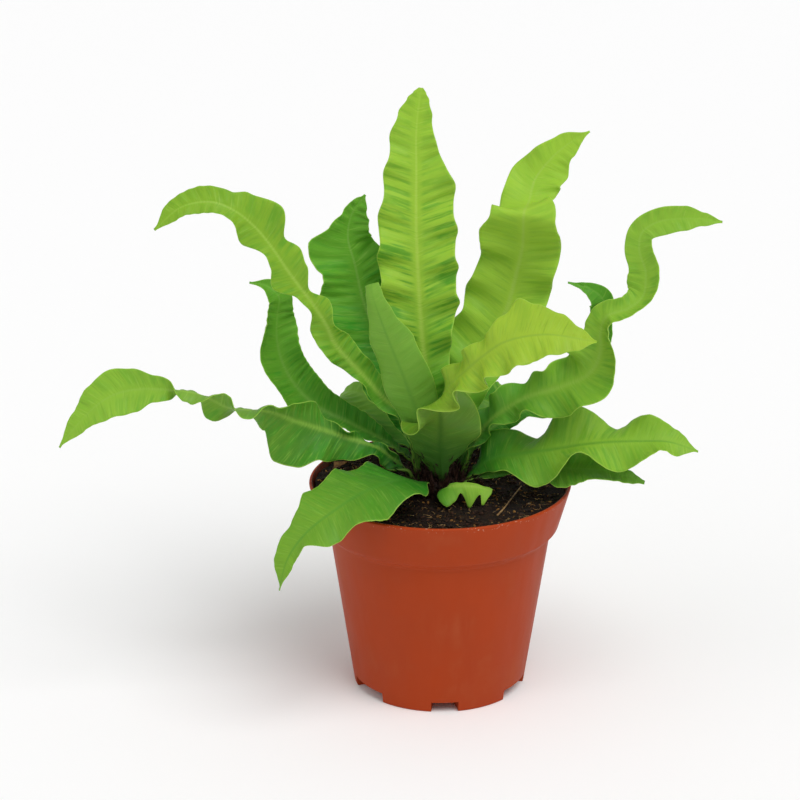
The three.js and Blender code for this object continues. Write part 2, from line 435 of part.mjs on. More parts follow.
// The closed ribbon: two skins a thickness apart, split alike, and a rim between them. With a
// spare it is the plain hole that its stalk stands in, which runs on past the crown's top.
function frondGeometry(frond, spare = 0) {
  const curve = new THREE.CatmullRomCurve3(frond.path.map(vector));
  const spans = frond.path.length - 1;
  const lengths = curve.getLengths(spans * SPAN_STEPS);
  const neck = lengths[SPAN_STEPS] / lengths[lengths.length - 1];
  const foot = -neck / (1 - neck);
  const shares = [foot, foot / 2];
  for (let row = 0; row <= frond.rows; row += 1) shares.push(row / frond.rows);
  const kept = spare > 0 ? shares.filter((t) => t < HOLE_END) : shares;
  const grid = kept.map((t) => bladeRow(frond, curve, neck, t, spare));
  if (spare > 0) {
    const down = curve.getTangentAt(0).multiplyScalar(-spare);
    grid[0].forEach((point) => point.add(down));
  }
  const points = [];
  kept.forEach((t, i) => {
    COLUMNS.forEach((s, j) => {
      const lengthways = grid[Math.min(i + 1, grid.length - 1)][j].clone()
        .sub(grid[Math.max(i - 1, 0)][j]);
      const sideways = grid[i][Math.min(j + 1, COLUMNS.length - 1)].clone()
        .sub(grid[i][Math.max(j - 1, 0)]);
      const normal = sideways.cross(lengthways).normalize();
      const stalk = (STALK_THICK - MARGIN_THICK) * (1 - ease(0, STALK_END, t));
      const half = (MARGIN_THICK + stalk) / 2 + spare;
      const rib = RIB_THICK * (1 - Math.abs(s)) ** 2 * (1 - t);
      points.push(grid[i][j].clone().addScaledVector(normal, half));
      points.push(grid[i][j].clone().addScaledVector(normal, -half - rib));
    });
  });
  const upper = (i, j) => 2 * (i * COLUMNS.length + j);
  const lower = (i, j) => upper(i, j) + 1;
  const faces = [];
  const quad = (a, b, c, d) => faces.push(a, b, c, a, c, d);
  const lastRow = kept.length - 1;
  const lastColumn = COLUMNS.length - 1;
  for (let i = 0; i < lastRow; i += 1) {
    for (let j = 0; j < lastColumn; j += 1) {
      quad(upper(i, j), upper(i, j + 1), upper(i + 1, j + 1), upper(i + 1, j));
      faces.push(lower(i, j), lower(i + 1, j + 1), lower(i, j + 1));
      faces.push(lower(i, j), lower(i + 1, j), lower(i + 1, j + 1));
    }
    quad(upper(i, 0), upper(i + 1, 0), lower(i + 1, 0), lower(i, 0));
    quad(upper(i, lastColumn), lower(i, lastColumn), lower(i + 1, lastColumn),
      upper(i + 1, lastColumn));
  }
  for (let j = 0; j < lastColumn; j += 1) {
    quad(upper(0, j), lower(0, j), lower(0, j + 1), upper(0, j + 1));
    quad(upper(lastRow, j), upper(lastRow, j + 1), lower(lastRow, j + 1), lower(lastRow, j));
  }
  const geometry = new THREE.BufferGeometry().setFromPoints(points);
  geometry.setIndex(faces);
  return geometry;
}

// --- the plant in its pot -----------------------------------------------------------------
const group = new THREE.Group();
group.name = 'potted_fern';

function add(name, geometry, colour, roughness) {
  const material = new THREE.MeshStandardMaterial({ color: colour, roughness, metalness: 0 });
  const mesh = new THREE.Mesh(geometry, material);
  mesh.name = name;
  group.add(mesh);
}

add('pot', geometryOf(potSolid()), '#a8481f', 0.45);
add('soil', geometryOf(soilSolid()), '#2b1d14', 0.95);
add('crown', geometryOf(crownSolid()), '#241812', 0.9);
for (const frond of FRONDS) add(frond.name, frondGeometry(frond), frond.colour, 0.5);

export default group;
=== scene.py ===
import math
import random

import bmesh
import bpy
from bpy.props import FloatProperty, FloatVectorProperty, IntProperty, PointerProperty
from mathutils import Matrix, Vector, noise


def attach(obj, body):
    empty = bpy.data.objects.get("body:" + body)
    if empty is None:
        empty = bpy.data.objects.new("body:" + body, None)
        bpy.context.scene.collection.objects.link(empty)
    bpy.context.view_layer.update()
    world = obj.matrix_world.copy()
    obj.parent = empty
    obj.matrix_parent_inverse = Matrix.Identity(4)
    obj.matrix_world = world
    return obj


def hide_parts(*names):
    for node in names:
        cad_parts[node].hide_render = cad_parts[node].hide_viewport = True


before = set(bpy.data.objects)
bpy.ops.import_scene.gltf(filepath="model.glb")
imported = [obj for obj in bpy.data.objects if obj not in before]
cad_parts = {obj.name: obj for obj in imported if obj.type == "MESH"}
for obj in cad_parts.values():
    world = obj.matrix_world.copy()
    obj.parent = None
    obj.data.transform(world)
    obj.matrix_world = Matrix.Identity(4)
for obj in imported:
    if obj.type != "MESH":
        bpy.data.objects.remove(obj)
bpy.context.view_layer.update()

bl_info = {
    "name": "Potted Fern",
    "version": (1, 0, 0),
    "blender": (4, 5, 0),
    "location": "View3D > Sidebar > Fern",
    "description": "A bird's-nest fern with crisped fronds in a plastic nursery pot",
    "category": "Add Mesh",
}

MM = 0.001
PER_MM = 1 / MM    # over a size in millimetres, this is a pattern's scale on coordinates in metres
TURN = 2 * math.pi


# --- sizes of the solids, in millimetres ------------------------------------------------------
POT_HEIGHT = 98
RIM_RADIUS = 60
BAND_HEIGHT = 20
BAND_FOOT_RADIUS = 54.3
SHOULDER_RADIUS = 51.2
SHOULDER_DROP = 3
BASE_RADIUS = 39.6
WALL = 1.6
BAND_FOOT = POT_HEIGHT - BAND_HEIGHT

NOTCH_HEIGHT = 5
NOTCH_DEPTH = 10
NARROW_NOTCH = 18
WIDE_NOTCH = 32
FIRST_NOTCH = 33
NOTCH_STEP = 60
DRAIN_RADIUS = 2.5
STEP_ROUND = 3.2      # radius of the two soft corners of the step under the band

FIT = 0.35
SOIL_EDGE = 94
SOIL_MIDDLE = 92.5
SOIL_LUMP = 0.5
LUMP_ALONG_X = 0.31
LUMP_ALONG_Y = 0.27
LUMP_ACROSS = 0.19
CROWN_RADIUS = 16
CROWN_TOP = 102
CROWN_SHOULDER = 92

STALK_THICK = 1.8
RIB_THICK = 0.6
STALK_END = 0.12
WAVE_STEPS = 200
WAVE_POWER = 1.4
STEEPEST = 0.92

# Fronds, in millimetres, each with the same keys as the solid that it stands for.
FRONDS = [
    { "name": "frond_tall",
      "path": [[0, 4, 90], [-1, 4, 103], [-5, 6, 134], [-8, 10, 161], [-10, 14, 189], [-11, 18, 213],
        [-11, 22, 237], [-11, 25, 256], [-9, 27, 274]],
      "faces": [[0, 0.1, -1, 0.1], [1, 0, -1, 0.1]],
      "outline": [[0, 1.5, 1.5], [0.12, 3, 3], [0.3, 13, 12], [0.45, 18, 17.5], [0.62, 17.5, 18],
        [0.75, 15, 17], [0.86, 12, 9], [0.93, 9, 6.5], [0.97, 5.5, 4.5], [0.99, 3, 2.5], [1, 1, 1]],
      "cup": [[0, 6]], "ruffle": [[0, 0, 0], [0.2, 3, 3], [0.5, 3.5, 4], [0.8, 2, 2.5], [1, 0, 0]],
      "pitch": [[0, 19], [0.3, 21], [0.5, 16], [0.7, 20], [1, 13]], "phase": [0, 0.4], "lobe": 0.04,
      "sweep": 0.25 },
    { "name": "frond_upright_left",
      "path": [[-4, 1, 90], [-6, 2, 103], [-17, 10, 133], [-28, 18, 159], [-35, 24, 176], [-39, 27, 193],
        [-42, 28, 205], [-40, 28, 216], [-34, 27, 225]],
      "faces": [[0, 0.5, -1, 0.2], [0.7, 0.35, -1, 0.2], [1, 0.3, -1, 0.5]],
      "outline": [[0, 1.5, 1.5], [0.1, 5, 5], [0.3, 16, 12], [0.55, 21, 16], [0.74, 19, 14],
        [0.83, 20, 11], [0.87, 10, 9.5], [0.92, 4.5, 8.5], [0.96, 3, 5], [1, 0.5, 0.5]],
      "cup": [[0, 12]], "ruffle": [[0, 0], [0.3, 3], [0.75, 3], [1, 0]],
      "pitch": [[0, 22]], "phase": [0, 0.1], "lobe": 0, "sweep": 0.2 },
    { "name": "frond_upright_right",
      "path": [[4, 1, 90], [5, 3, 103], [12, 14, 132], [22, 22, 153], [30, 26, 170], [34, 27, 185],
        [37, 22, 203], [37, 14, 220], [40, 28, 222], [43, 36, 230], [50, 38, 239], [58, 38, 246],
        [67, 36, 252]],
      "faces": [[0, -0.2, -1, 0.2], [0.6, -0.1, -1, 0.3], [0.7, -0.25, -1, 0.3], [1, -0.2, -1, 0.3]],
      "outline": [[0, 1.5, 1.5], [0.1, 5, 4], [0.22, 16, 9], [0.3, 22, 12], [0.36, 19, 15],
        [0.43, 21, 17], [0.52, 18, 17.5], [0.62, 20, 17.5], [0.68, 15, 14.5], [0.75, 13, 10],
        [0.82, 12, 13], [0.87, 9, 12], [0.93, 6, 6.5], [1, 0.5, 0.5]],
      "cup": [[0, 6]], "ruffle": [[0, 0], [0.3, 3], [0.55, 2.5], [0.65, 1], [0.8, 2.5], [1, 0]],
      "pitch": [[0, 20]], "phase": [0, 0.5], "lobe": 0, "sweep": 0.2 },
    { "name": "frond_inner",
      "path": [[-1, -4, 90], [-2, -6, 103], [-8, -10, 125], [-12, -12, 139], [-17, -14, 154],
        [-22, -15, 167], [-27, -16, 181], [-30, -15, 190], [-31, -12, 195]],
      "faces": [[0, 0.1, 1, 0.3], [1, 0.2, 1, 0.5]],
      "outline": [[0, 1.5, 1.5], [0.1, 5, 5], [0.25, 10, 9], [0.5, 12, 12], [0.7, 11, 10],
        [0.85, 6.5, 6.5], [0.95, 4.5, 4.5], [1, 3.5, 3.5]],
      "cup": [[0, 12]], "ruffle": [[0, 0], [0.5, 0.8], [1, 0.5]],
      "pitch": [[0, 30]], "phase": [0, 0.5], "lobe": 0, "sweep": 0.2 },
    { "name": "frond_arch_left",
      "path": [[-9, -2, 90], [-10, -3, 101], [-16, -1, 128], [-26, -3, 139], [-37, -6, 153],
        [-47, -9, 166], [-51, -11, 176], [-58, -13, 188], [-67, -14, 201], [-74, -14, 212],
        [-81, -14, 221], [-90, -15, 229], [-100, -15, 233], [-113, -16, 231], [-125, -17, 221]],
      "faces": [[0, 0.7, -0.4, 0.5], [0.2, 0.3, -0.8, 0.4], [0.4, -0.2, -0.9, 0.5],
        [0.7, -0.3, -0.9, 0.7], [1, -0.3, -1, 0.6]],
      "outline": [[0, 1.5, 1.5], [0.1, 3, 3], [0.2, 5, 5], [0.3, 4, 7], [0.4, 7, 7.5], [0.45, 8, 4.5],
        [0.5, 3, 7], [0.545, 4, 2.5], [0.6, 10, 8.5], [0.64, 6, 10], [0.675, 5, 7], [0.73, 9.5, 15],
        [0.79, 5.5, 10], [0.82, 5, 7], [0.87, 5, 7], [0.94, 4.5, 5], [1, 0.6, 0.6]],
      "cup": [[0, 8]],
      "ruffle": [[0, 0], [0.2, 2], [0.45, 2.5], [0.55, 1], [0.7, 2.5], [0.85, 1.5], [1, 0]],
      "pitch": [[0, 20], [0.5, 24], [0.75, 30], [1, 30]], "phase": [0.62, 0.12], "lobe": 0, "sweep": 0 },
    { "name": "frond_rear_left",
      "path": [[-8, 4, 90], [-9, 5, 101], [-24, 8, 113], [-41, 12, 121], [-58, 14, 130], [-69, 15, 143],
        [-74, 15, 158], [-74, 15, 172], [-73, 14, 181], [-78, 14, 186], [-86, 13, 188]],
      "faces": [[0, 0.9, -0.2, 0.4], [0.2, 0.4, -0.5, 0.9], [0.4, 0.4, -0.8, 0.4], [0.6, 0.5, -0.9, 0.2],
        [0.8, 0.6, -0.8, 0], [1, 0, -0.8, 0.8]],
      "outline": [[0, 1.5, 1.5], [0.1, 3, 3], [0.3, 8, 8], [0.5, 13, 11], [0.75, 13, 10],
        [0.88, 7, 6], [1, 0.5, 0.5]],
      "cup": [[0, 15], [0.4, 30], [1, 25]], "ruffle": [[0, 0], [0.3, 1.5], [0.7, 1.5], [1, 0]],
      "pitch": [[0, 30]], "phase": [0, 0.5], "lobe": 0, "sweep": 0.2 },
    { "name": "frond_long_left",
      "path": [[-10, -6, 90], [-12, -7, 100], [-27, -9, 116], [-45, -12, 124], [-64, -16, 132],
        [-77, -19, 138], [-87, -21, 139], [-95, -22, 141], [-104, -23, 146], [-114, -24, 149],
        [-131, -26, 151], [-142, -27, 149.5], [-150, -28, 145.5], [-160, -29, 136],
        [-169, -30, 125]],
      "faces": [[0, 0.9, 0.15, 0.5], [0.15, 0.2, -0.7, 0.7], [0.25, -0.1, -0.9, 0.5],
        [0.38, -0.1, -0.9, 0.2], [0.42, 0, -0.9, -0.5], [0.48, 0, 0.1, -1], [0.55, 0, -0.9, -0.3],
        [0.63, 0, 0.3, -1], [0.7, 0, -0.9, 0.3], [1, -0.3, -0.8, 0.6]],
      "outline": [[0, 1.5, 1.5], [0.08, 6, 3], [0.2, 10, 4], [0.27, 15, 5], [0.32, 20, 11],
        [0.36, 20.5, 10], [0.41, 11, 8], [0.48, 8, 8], [0.55, 9.5, 8.5], [0.6, 6, 6],
        [0.66, 4.5, 4.5], [0.71, 6, 6], [0.76, 10, 9.5], [0.8, 10.5, 11], [0.85, 9, 9], [0.92, 5, 5],
        [1, 0.5, 0.5]],
      "cup": [[0, 8], [0.44, 12], [0.58, 14], [0.65, 28], [0.72, 8]],
      "ruffle": [[0, 0], [0.1, 4], [0.4, 3], [0.5, 1], [1, 0]],
      "pitch": [[0, 20], [0.2, 24], [0.34, 34]], "phase": [0.1, 0.5], "lobe": 0, "sweep": 0.1 },
    { "name": "frond_low_left",
      "path": [[-6, -10, 90], [-8, -12, 99], [-17, -28, 109], [-33, -47, 111], [-47, -58, 106],
        [-59, -64, 98], [-67, -66, 87], [-71, -66, 72]],
      "faces": [[0, 0.4, 0.6, 0.6], [0.2, 0, -0.2, 1], [0.5, -0.2, -0.5, 0.85], [1, -0.6, -0.9, 0.3]],
      "outline": [[0, 1.5, 1.5], [0.04, 2.5, 5], [0.1, 8, 14], [0.2, 15, 19], [0.35, 18, 19],
        [0.5, 18, 19], [0.62, 14, 16], [0.7, 12, 12], [0.78, 5, 9], [0.88, 3.5, 6], [1, 0.5, 0.5]],
      "cup": [[0, 0]], "ruffle": [[0, 0, 0], [0.15, 2, 1.5], [0.6, 2.5, 1.2], [1, 0.5, 0.5]],
      "pitch": [[0, 30], [0.5, 24], [1, 24]], "phase": [0.2, 0.6], "lobe": 0.08, "sweep": 0.2 },
    { "name": "frond_front",
      "path": [[1, -8, 90], [1, -9, 102], [0, -12, 118], [0, -16, 131], [-1, -20, 141],
        [2, -24, 150], [10, -29, 160], [18, -34, 169], [27, -39, 177], [44, -44, 182],
        [66, -48, 180]],
      "faces": [[0, 0.1, 0.9, 0.3], [0.2, 0.1, 0.9, 0.3], [0.32, -0.7, 0.2, 0.6], [0.42, -0.6, -0.4, 0.6],
        [0.6, -0.4, -0.7, 0.6], [1, 0, -0.8, 0.7]],
      "outline": [[0, 1.5, 1.5], [0.04, 3, 3], [0.12, 12, 13], [0.2, 18, 18], [0.27, 17, 18],
        [0.34, 12, 15], [0.42, 9, 13], [0.55, 8, 13], [0.64, 8, 14], [0.7, 12, 15],
        [0.75, 18, 14], [0.8, 14, 12], [0.87, 10, 10], [0.94, 5, 6], [1, 0.5, 0.5]],
      "cup": [[0, 5]], "ruffle": [[0, 0, 0], [0.18, 1, 1], [0.28, 2, 5], [0.55, 3, 5], [0.68, 1, 2],
        [1, 0, 0]],
      "pitch": [[0, 40], [0.25, 22], [0.35, 17], [1, 17]], "phase": [0, 0.5], "lobe": 0, "sweep": 0 },
    { "name": "frond_far_right",
      "path": [[9, 0, 90], [10, -1, 101], [21, -8, 128], [38, -12, 142], [53, -15, 148],
        [65, -18, 155], [70, -20, 165], [70, -21, 176], [72, -22, 183], [82, -22, 187],
        [88, -20, 192], [89, -18, 202], [86, -17, 212], [87, -17, 220], [94, -18, 225],
        [107, -20, 227], [121, -22, 226]],
      "faces": [[0, -0.8, 0.1, 0.5], [0.15, -0.3, -0.7, 0.6], [0.32, -0.9, -0.7, 0.3],
        [0.42, -0.3, -0.9, 0.4], [0.5, -0.5, -0.9, 0.2], [0.58, -0.5, -0.6, 0.7],
        [0.67, -0.6, -0.8, 0.3], [0.78, -0.3, -1, 0], [0.85, -0.3, -0.9, 0.2], [1, 0, -0.9, 0.5]],
      "outline": [[0, 1.5, 1.5], [0.06, 3, 2.5], [0.15, 9, 5], [0.24, 10, 8], [0.3, 10, 12],
        [0.36, 12, 14], [0.42, 14, 15], [0.47, 14, 10], [0.52, 8, 8], [0.62, 6, 6], [0.7, 8.5, 7],
        [0.76, 6.5, 7], [0.82, 6, 5.5], [0.87, 6, 6.5], [0.92, 5.5, 5.5], [0.96, 3, 3], [1, 0.5, 0.5]],
      "cup": [[0, 10], [0.35, 10], [0.5, 25], [0.62, 28], [0.7, 14], [1, 10]],
      "ruffle": [[0, 0, 0], [0.12, 5, 3], [0.35, 7, 5], [0.43, 3, 3], [0.5, 1, 1], [1, 0, 0]],
      "pitch": [[0, 18], [0.2, 18], [0.3, 26], [1, 24]], "phase": [0, 0.5], "lobe": 0, "sweep": 0.1 },
    { "name": "frond_rear_right",
      "path": [[7, 5, 90], [8, 6, 101], [22, 8, 119], [39, 10, 128], [56, 10, 133], [68, 10, 145],
        [72, 10, 160], [74, 10, 174], [73, 10, 181], [67, 10, 186], [57, 10, 189]],
      "faces": [[0, -0.8, -0.5, 0.4], [0.7, -0.6, -0.8, 0.3], [1, 0, -0.8, 0.5]],
      "outline": [[0, 1.5, 1.5], [0.1, 3, 3], [0.3, 6, 6], [0.6, 6, 6], [0.85, 7, 5], [1, 0.5, 0.5]],
      "cup": [[0, 15]], "ruffle": [[0, 0], [0.3, 2], [0.7, 1.5], [1, 0]],
      "pitch": [[0, 22]], "phase": [0, 0.5], "lobe": 0, "sweep": 0.2 },
    { "name": "frond_low_right",
      "path": [[10, -5, 90], [12, -6, 100], [22, -12, 112], [37, -16, 117], [51, -19, 120],
        [64, -21, 123], [76, -23, 125], [89, -25, 126], [101, -26, 126], [114, -27, 122]],
      "faces": [[0, -0.9, 0.2, 0.5], [0.14, -0.3, -0.6, 0.8], [0.3, 0, -0.5, 0.85],
        [0.5, 0.1, -0.5, 0.85], [1, 0.1, -0.7, 0.8]],
      "outline": [[0, 1.5, 1.5], [0.05, 6, 3], [0.12, 12, 5], [0.2, 13, 10], [0.34, 15, 17],
        [0.5, 19, 14], [0.67, 13, 14], [0.8, 12, 11], [0.9, 7, 7], [1, 0.5, 0.5]],
      "cup": [[0, 5]], "ruffle": [[0, 0, 0], [0.1, 2, 0.5], [0.2, 3, 2], [0.34, 8, 7], [0.6, 8, 8],
        [0.8, 5, 5], [1, 0, 0]],
      "pitch": [[0, 24], [0.2, 26], [0.3, 38], [0.6, 40], [0.75, 32], [1, 30]],
      "phase": [0.5, 0.42], "lobe": 0, "sweep": 0.1 },
    { "name": "frond_under_right",
      "path": [[7, -10, 90], [9, -12, 99], [27, -14, 107], [44, -16, 109], [60, -20, 111],
        [75, -23, 111], [91, -24, 106]],
      "faces": [[0, -0.7, 0.6, 0.4], [0.3, -0.1, -0.5, 0.9], [1, 0, -0.6, 0.8]],
      "outline": [[0, 1.5, 1.5], [0.2, 3, 2], [0.42, 5, 3], [0.55, 9, 10], [0.75, 7, 8],
        [0.9, 3, 4], [1, 1, 1]],
      "cup": [[0, 10]], "ruffle": [[0, 0], [0.3, 2], [0.6, 3], [1, 0]],
      "pitch": [[0, 34]], "phase": [0, 0.5], "lobe": 0, "sweep": 0.2 },
    { "name": "frond_young_front",
      "path": [[3, -13, 90], [2, -14, 98], [3, -18, 101.5], [9, -20, 103], [16, -20.5, 102.5],
        [23, -22, 101]],
      "faces": [[0, -0.2, 1, 0.3], [0.2, 0, -0.4, 1], [0.4, 0, -0.8, 0.7], [1, 0.2, -0.8, 0.6]],
      "outline": [[0, 1.5, 1.5], [0.1, 2, 3], [0.26, 2, 11], [0.36, 2, 8], [0.46, 1.5, 3.5],
        [0.65, 1.5, 10], [0.83, 1.5, 3.5], [0.92, 1.5, 8], [1, 1, 1.5]],
      "cup": [[0, -10]], "ruffle": [[0, 0, 0], [0.3, 0.5, 1.5], [0.9, 0.5, 1.5], [1, 0, 0]],
      "pitch": [[0, 12]], "phase": [0, 0.5], "lobe": 0, "sweep": 0.1 },
    { "name": "frond_back_left",
      "path": [[-6, 9, 90], [-7, 10, 100], [-18, 22, 115], [-31, 34, 125], [-42, 42, 126], [-48, 48, 120]],
      "faces": [[0, 0.6, -0.6, 0.4], [0.4, 0.2, -0.4, 0.9], [1, 0.2, -0.5, 0.9]],
      "outline": [[0, 1.5, 1.5], [0.08, 4, 7], [0.25, 9, 13], [0.45, 15, 14], [0.6, 17, 13], [0.8, 13, 8],
        [1, 0.5, 0.5]],
      "cup": [[0, 12]], "ruffle": [[0, 0], [0.2, 2], [0.6, 3], [1, 0]],
      "pitch": [[0, 22]], "phase": [0, 0.5], "lobe": 0, "sweep": 0.2 },
    { "name": "frond_back",
      "path": [[0, 9, 90], [0, 11, 102], [-1, 24, 125], [-4, 46, 148], [-7, 70, 160], [-9, 92, 156],
        [-10, 108, 142]],
      "faces": [[0, 0, -0.7, 0.7], [0.5, 0, -0.6, 1], [1, 0, 0.5, 0.8]],
      "outline": [[0, 1.5, 1.5], [0.1, 3, 3], [0.35, 11, 11], [0.6, 14, 14], [0.85, 10, 10],
        [1, 0.5, 0.5]],
      "cup": [[0, 10]], "ruffle": [[0, 0], [0.2, 3], [0.7, 4], [1, 0.5]],
      "pitch": [[0, 22]], "phase": [0, 0.4], "lobe": 0.05, "sweep": 0.2 },
    { "name": "frond_back_right",
      "path": [[6, 10, 90], [7, 12, 100], [16, 26, 112], [28, 44, 118], [39, 62, 115], [46, 78, 104]],
      "faces": [[0, -0.5, -0.6, 0.4], [0.5, 0, -0.2, 1], [1, 0.3, 0.5, 0.8]],
      "outline": [[0, 1.5, 1.5], [0.08, 6, 6], [0.25, 12, 11], [0.65, 13, 13], [0.85, 8, 8],
        [1, 0.5, 0.5]],
      "cup": [[0, 10]], "ruffle": [[0, 0], [0.2, 3], [0.7, 4], [1, 0.5]],
      "pitch": [[0, 24]], "phase": [0, 0.4], "lobe": 0.05, "sweep": 0.2 },
]

# How each frond looks: deep green at its foot, bright green toward its tip, the share of its
# length at which the change is done, its midrib above and below, and how pleated it is, which
# also sets how strong the painted shade and painted highlight of its pleats are. Fronds that
# stand in shade, such as the upright left and the inner one, have darker tones: painted shade.
LEAF_TONES = {
    "frond_tall": ("#3F9420", "#94BC36", 0.52, "#AECA54", "#A8C25A", 0.85),
    # Painted shade: this frond stands in shade, so its tones are darker.
    "frond_upright_left": ("#2F7F20", "#64A22A", 0.85, "#86B050", "#86B050", 1.0),
    "frond_upright_right": ("#5AA22A", "#98C038", 0.42, "#A4C254", "#A9C658", 0.3),
    # Painted shade: this frond stands in shade, so its tones are darker.
    "frond_inner": ("#4E9224", "#6CA02C", 0.6, "#5C9230", "#5C9230", 0.2),
    "frond_arch_left": ("#469024", "#80AA2A", 0.6, "#A0C250", "#A4C654", 0.7),
    "frond_rear_left": ("#37831F", "#66A42C", 0.7, "#7FAE48", "#7FAE48", 0.8),
    "frond_long_left": ("#226A14", "#86B234", 0.92, "#8AB244", "#96BC4C", 0.6),
    "frond_low_left": ("#27741A", "#72A02A", 0.9, "#4C8C2A", "#79A944", 0.35),
    "frond_front": ("#286614", "#9ABA32", 0.66, "#7EA436", "#3A6A1C", 0.3),
    "frond_far_right": ("#47942A", "#86B234", 0.5, "#90B848", "#8EB648", 0.5),
    "frond_rear_right": ("#2F7A1C", "#5C9E2B", 0.7, "#7FAE48", "#7FAE48", 0.6),
    "frond_low_right": ("#267216", "#84B032", 0.62, "#4A8A28", "#3D7A22", 0.5),
    "frond_under_right": ("#2C721A", "#66982E", 0.7, "#6FA03E", "#6FA03E", 0.6),
    "frond_young_front": ("#4C9324", "#8ABA3A", 0.7, "#A3C850", "#A3C850", 0.3),
    "frond_back_left": ("#35801F", "#7AAA38", 0.7, "#7FAE48", "#7FAE48", 0.6),
    "frond_back": ("#2F7A1C", "#74A834", 0.6, "#86B24C", "#86B24C", 0.8),
    "frond_back_right": ("#2F7A1C", "#74A834", 0.6, "#86B24C", "#86B24C", 0.8),
}


# --- colour, nodes and small sums -------------------------------------------------------------
NOISE_ROUGHNESS = 0.55    # how strong the finer detail of a pattern is


def linear(code):
    """The linear colour of an sRGB hex value such as #A34016."""
    shares = [int(code[i:i + 2], 16) / 255 for i in (1, 3, 5)]
    return tuple(c / 12.92 if c <= 0.04045 else ((c + 0.055) / 1.055) ** 2.4 for c in shares)


def opaque(colour):
    """A colour socket's four values from a hex value or from three linear ones."""
    return (*(linear(colour) if isinstance(colour, str) else colour), 1.0)


def smooth(low, high, x):
    """0 below low, 1 above high, and an eased step between them."""
    share = min(max((x - low) / (high - low), 0.0), 1.0)
    return share * share * (3 - 2 * share)


def along(keys, t):
    """The values between two keys of [[t, value, ...], ...], eased from one key to the next."""
    later = next((i for i, key in enumerate(keys) if key[0] > t), len(keys))
    if later == 0:
        return keys[0][1:]
    if later == len(keys):
        return keys[-1][1:]
    first, second = keys[later - 1], keys[later]
    share = smooth(first[0], second[0], t)
    return [a + (b - a) * share for a, b in zip(first[1:], second[1:])]


def add(tree, kind, inputs=None, **settings):
    """Adds a node. The settings are its properties. Each input gets a number, a hex colour, or
    the output that feeds it, where a node stands for its first output."""
    node = tree.nodes.new("ShaderNode" + kind)
    for key, value in settings.items():
        setattr(node, key, value)
    for key, value in (inputs or {}).items():
        if isinstance(value, bpy.types.Node):
            value = value.outputs[0]
        if isinstance(value, bpy.types.NodeSocket):
            tree.links.new(value, node.inputs[key])
        else:
            node.inputs[key].default_value = opaque(value) if isinstance(value, str) else value
    return node


def new_material(name):
    """An empty material and its node tree."""
    material = bpy.data.materials.new(name)
    material.use_nodes = True
    material.node_tree.nodes.clear()
    return material, material.node_tree


def surface(tree, inputs):
    """Ends a material with its Principled shader, whose constant values stand on its sockets."""
    add(tree, "OutputMaterial", {"Surface": add(tree, "BsdfPrincipled", inputs)})


def eased(tree, *steps):
    """The product of eased steps. Each is an output, the two values that it is eased between,
    and its shares below and above them."""
    product = None
    for value, low, high, below, above in steps:
        step = add(tree, "MapRange", {0: value, 1: low, 2: high, 3: below, 4: above},
                   interpolation_type="SMOOTHSTEP")
        if product is not None:
            step = add(tree, "Math", {0: product, 1: step}, operation="MULTIPLY")
        product = step
    return product


def painted(tree, colour, layers):
    """A colour with layers laid over it in order, each a share and a colour."""
    for cover, over in layers:
        colour = add(tree, "Mix", {0: cover, 6: colour, 7: over}, data_type="RGBA").outputs[2]
    return colour


# --- meshes -----------------------------------------------------------------------------------
def finish_piece(bm, name, materials, replaced=(), sharp_degrees=180.0):
    """Turns a bmesh in millimetres into a piece of the object that rides on its body."""
    bmesh.ops.scale(bm, vec=(MM, MM, MM), verts=bm.verts)
    for face in bm.faces:
        face.smooth = True
    for edge in bm.edges:
        if len(edge.link_faces) == 2:
            edge.smooth = math.degrees(edge.calc_face_angle(0.0)) < sharp_degrees
    mesh = bpy.data.meshes.new(name)
    bm.to_mesh(mesh)
    bm.free()
    for material in materials:
        mesh.materials.append(material)
    piece = bpy.data.objects.new(name, mesh)
    bpy.context.scene.collection.objects.link(piece)
    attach(piece, "root")
    if replaced:
        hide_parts(*replaced)


def close_up(bm):
    """Merges doubles, closes what is open and turns every face outward."""
    bmesh.ops.remove_doubles(bm, verts=bm.verts, dist=1e-4)
    bmesh.ops.holes_fill(bm, edges=bm.edges, sides=0)
    bmesh.ops.recalc_face_normals(bm, faces=bm.faces)


def spun(profile, steps, whole=True):
    """A line of [radius, height] points spun about the pot's axis, closed at both ends on it."""
    bm = bmesh.new()
    points = [bm.verts.new((radius, 0, height)) for radius, height in profile]
    ends = points[1:] + points[:1] if whole else points[1:]
    edges = [bm.edges.new(pair) for pair in zip(points, ends)]
    bmesh.ops.spin(bm, geom=points + edges, axis=(0, 0, 1), cent=(0, 0, 0), steps=steps,
                   angle=TURN, use_merge=True, use_duplicate=False)
    close_up(bm)
    return bm


def rounded(corners):
    """A line of [x, z, radius] corners with each corner that has a radius turned into an arc."""
    line = []
    for i, (x, z, radius) in enumerate(corners):
        here = Vector((x, z))
        if radius == 0 or i in (0, len(corners) - 1):
            line.append(here)
            continue
        back = (Vector(corners[i - 1][:2]) - here).normalized()
        ahead = (Vector(corners[i + 1][:2]) - here).normalized()
        half = back.angle(ahead) / 2
        start = here + back * (radius / math.tan(half))
        end = here + ahead * (radius / math.tan(half))
        middle = here + (back + ahead).normalized() * (radius / math.sin(half))
        for step in range(ROUND_STEPS + 1):
            spoke = (start - middle).lerp(end - middle, step / ROUND_STEPS).normalized()
            line.append(middle + spoke * radius)
    return line


def joined(parts):
    """One bmesh from several, which it frees."""
    whole = bmesh.new()
    for part in parts:
        mesh = bpy.data.meshes.new("part")
        part.to_mesh(mesh)
        part.free()
        whole.from_mesh(mesh)
        bpy.data.meshes.remove(mesh)
    return whole


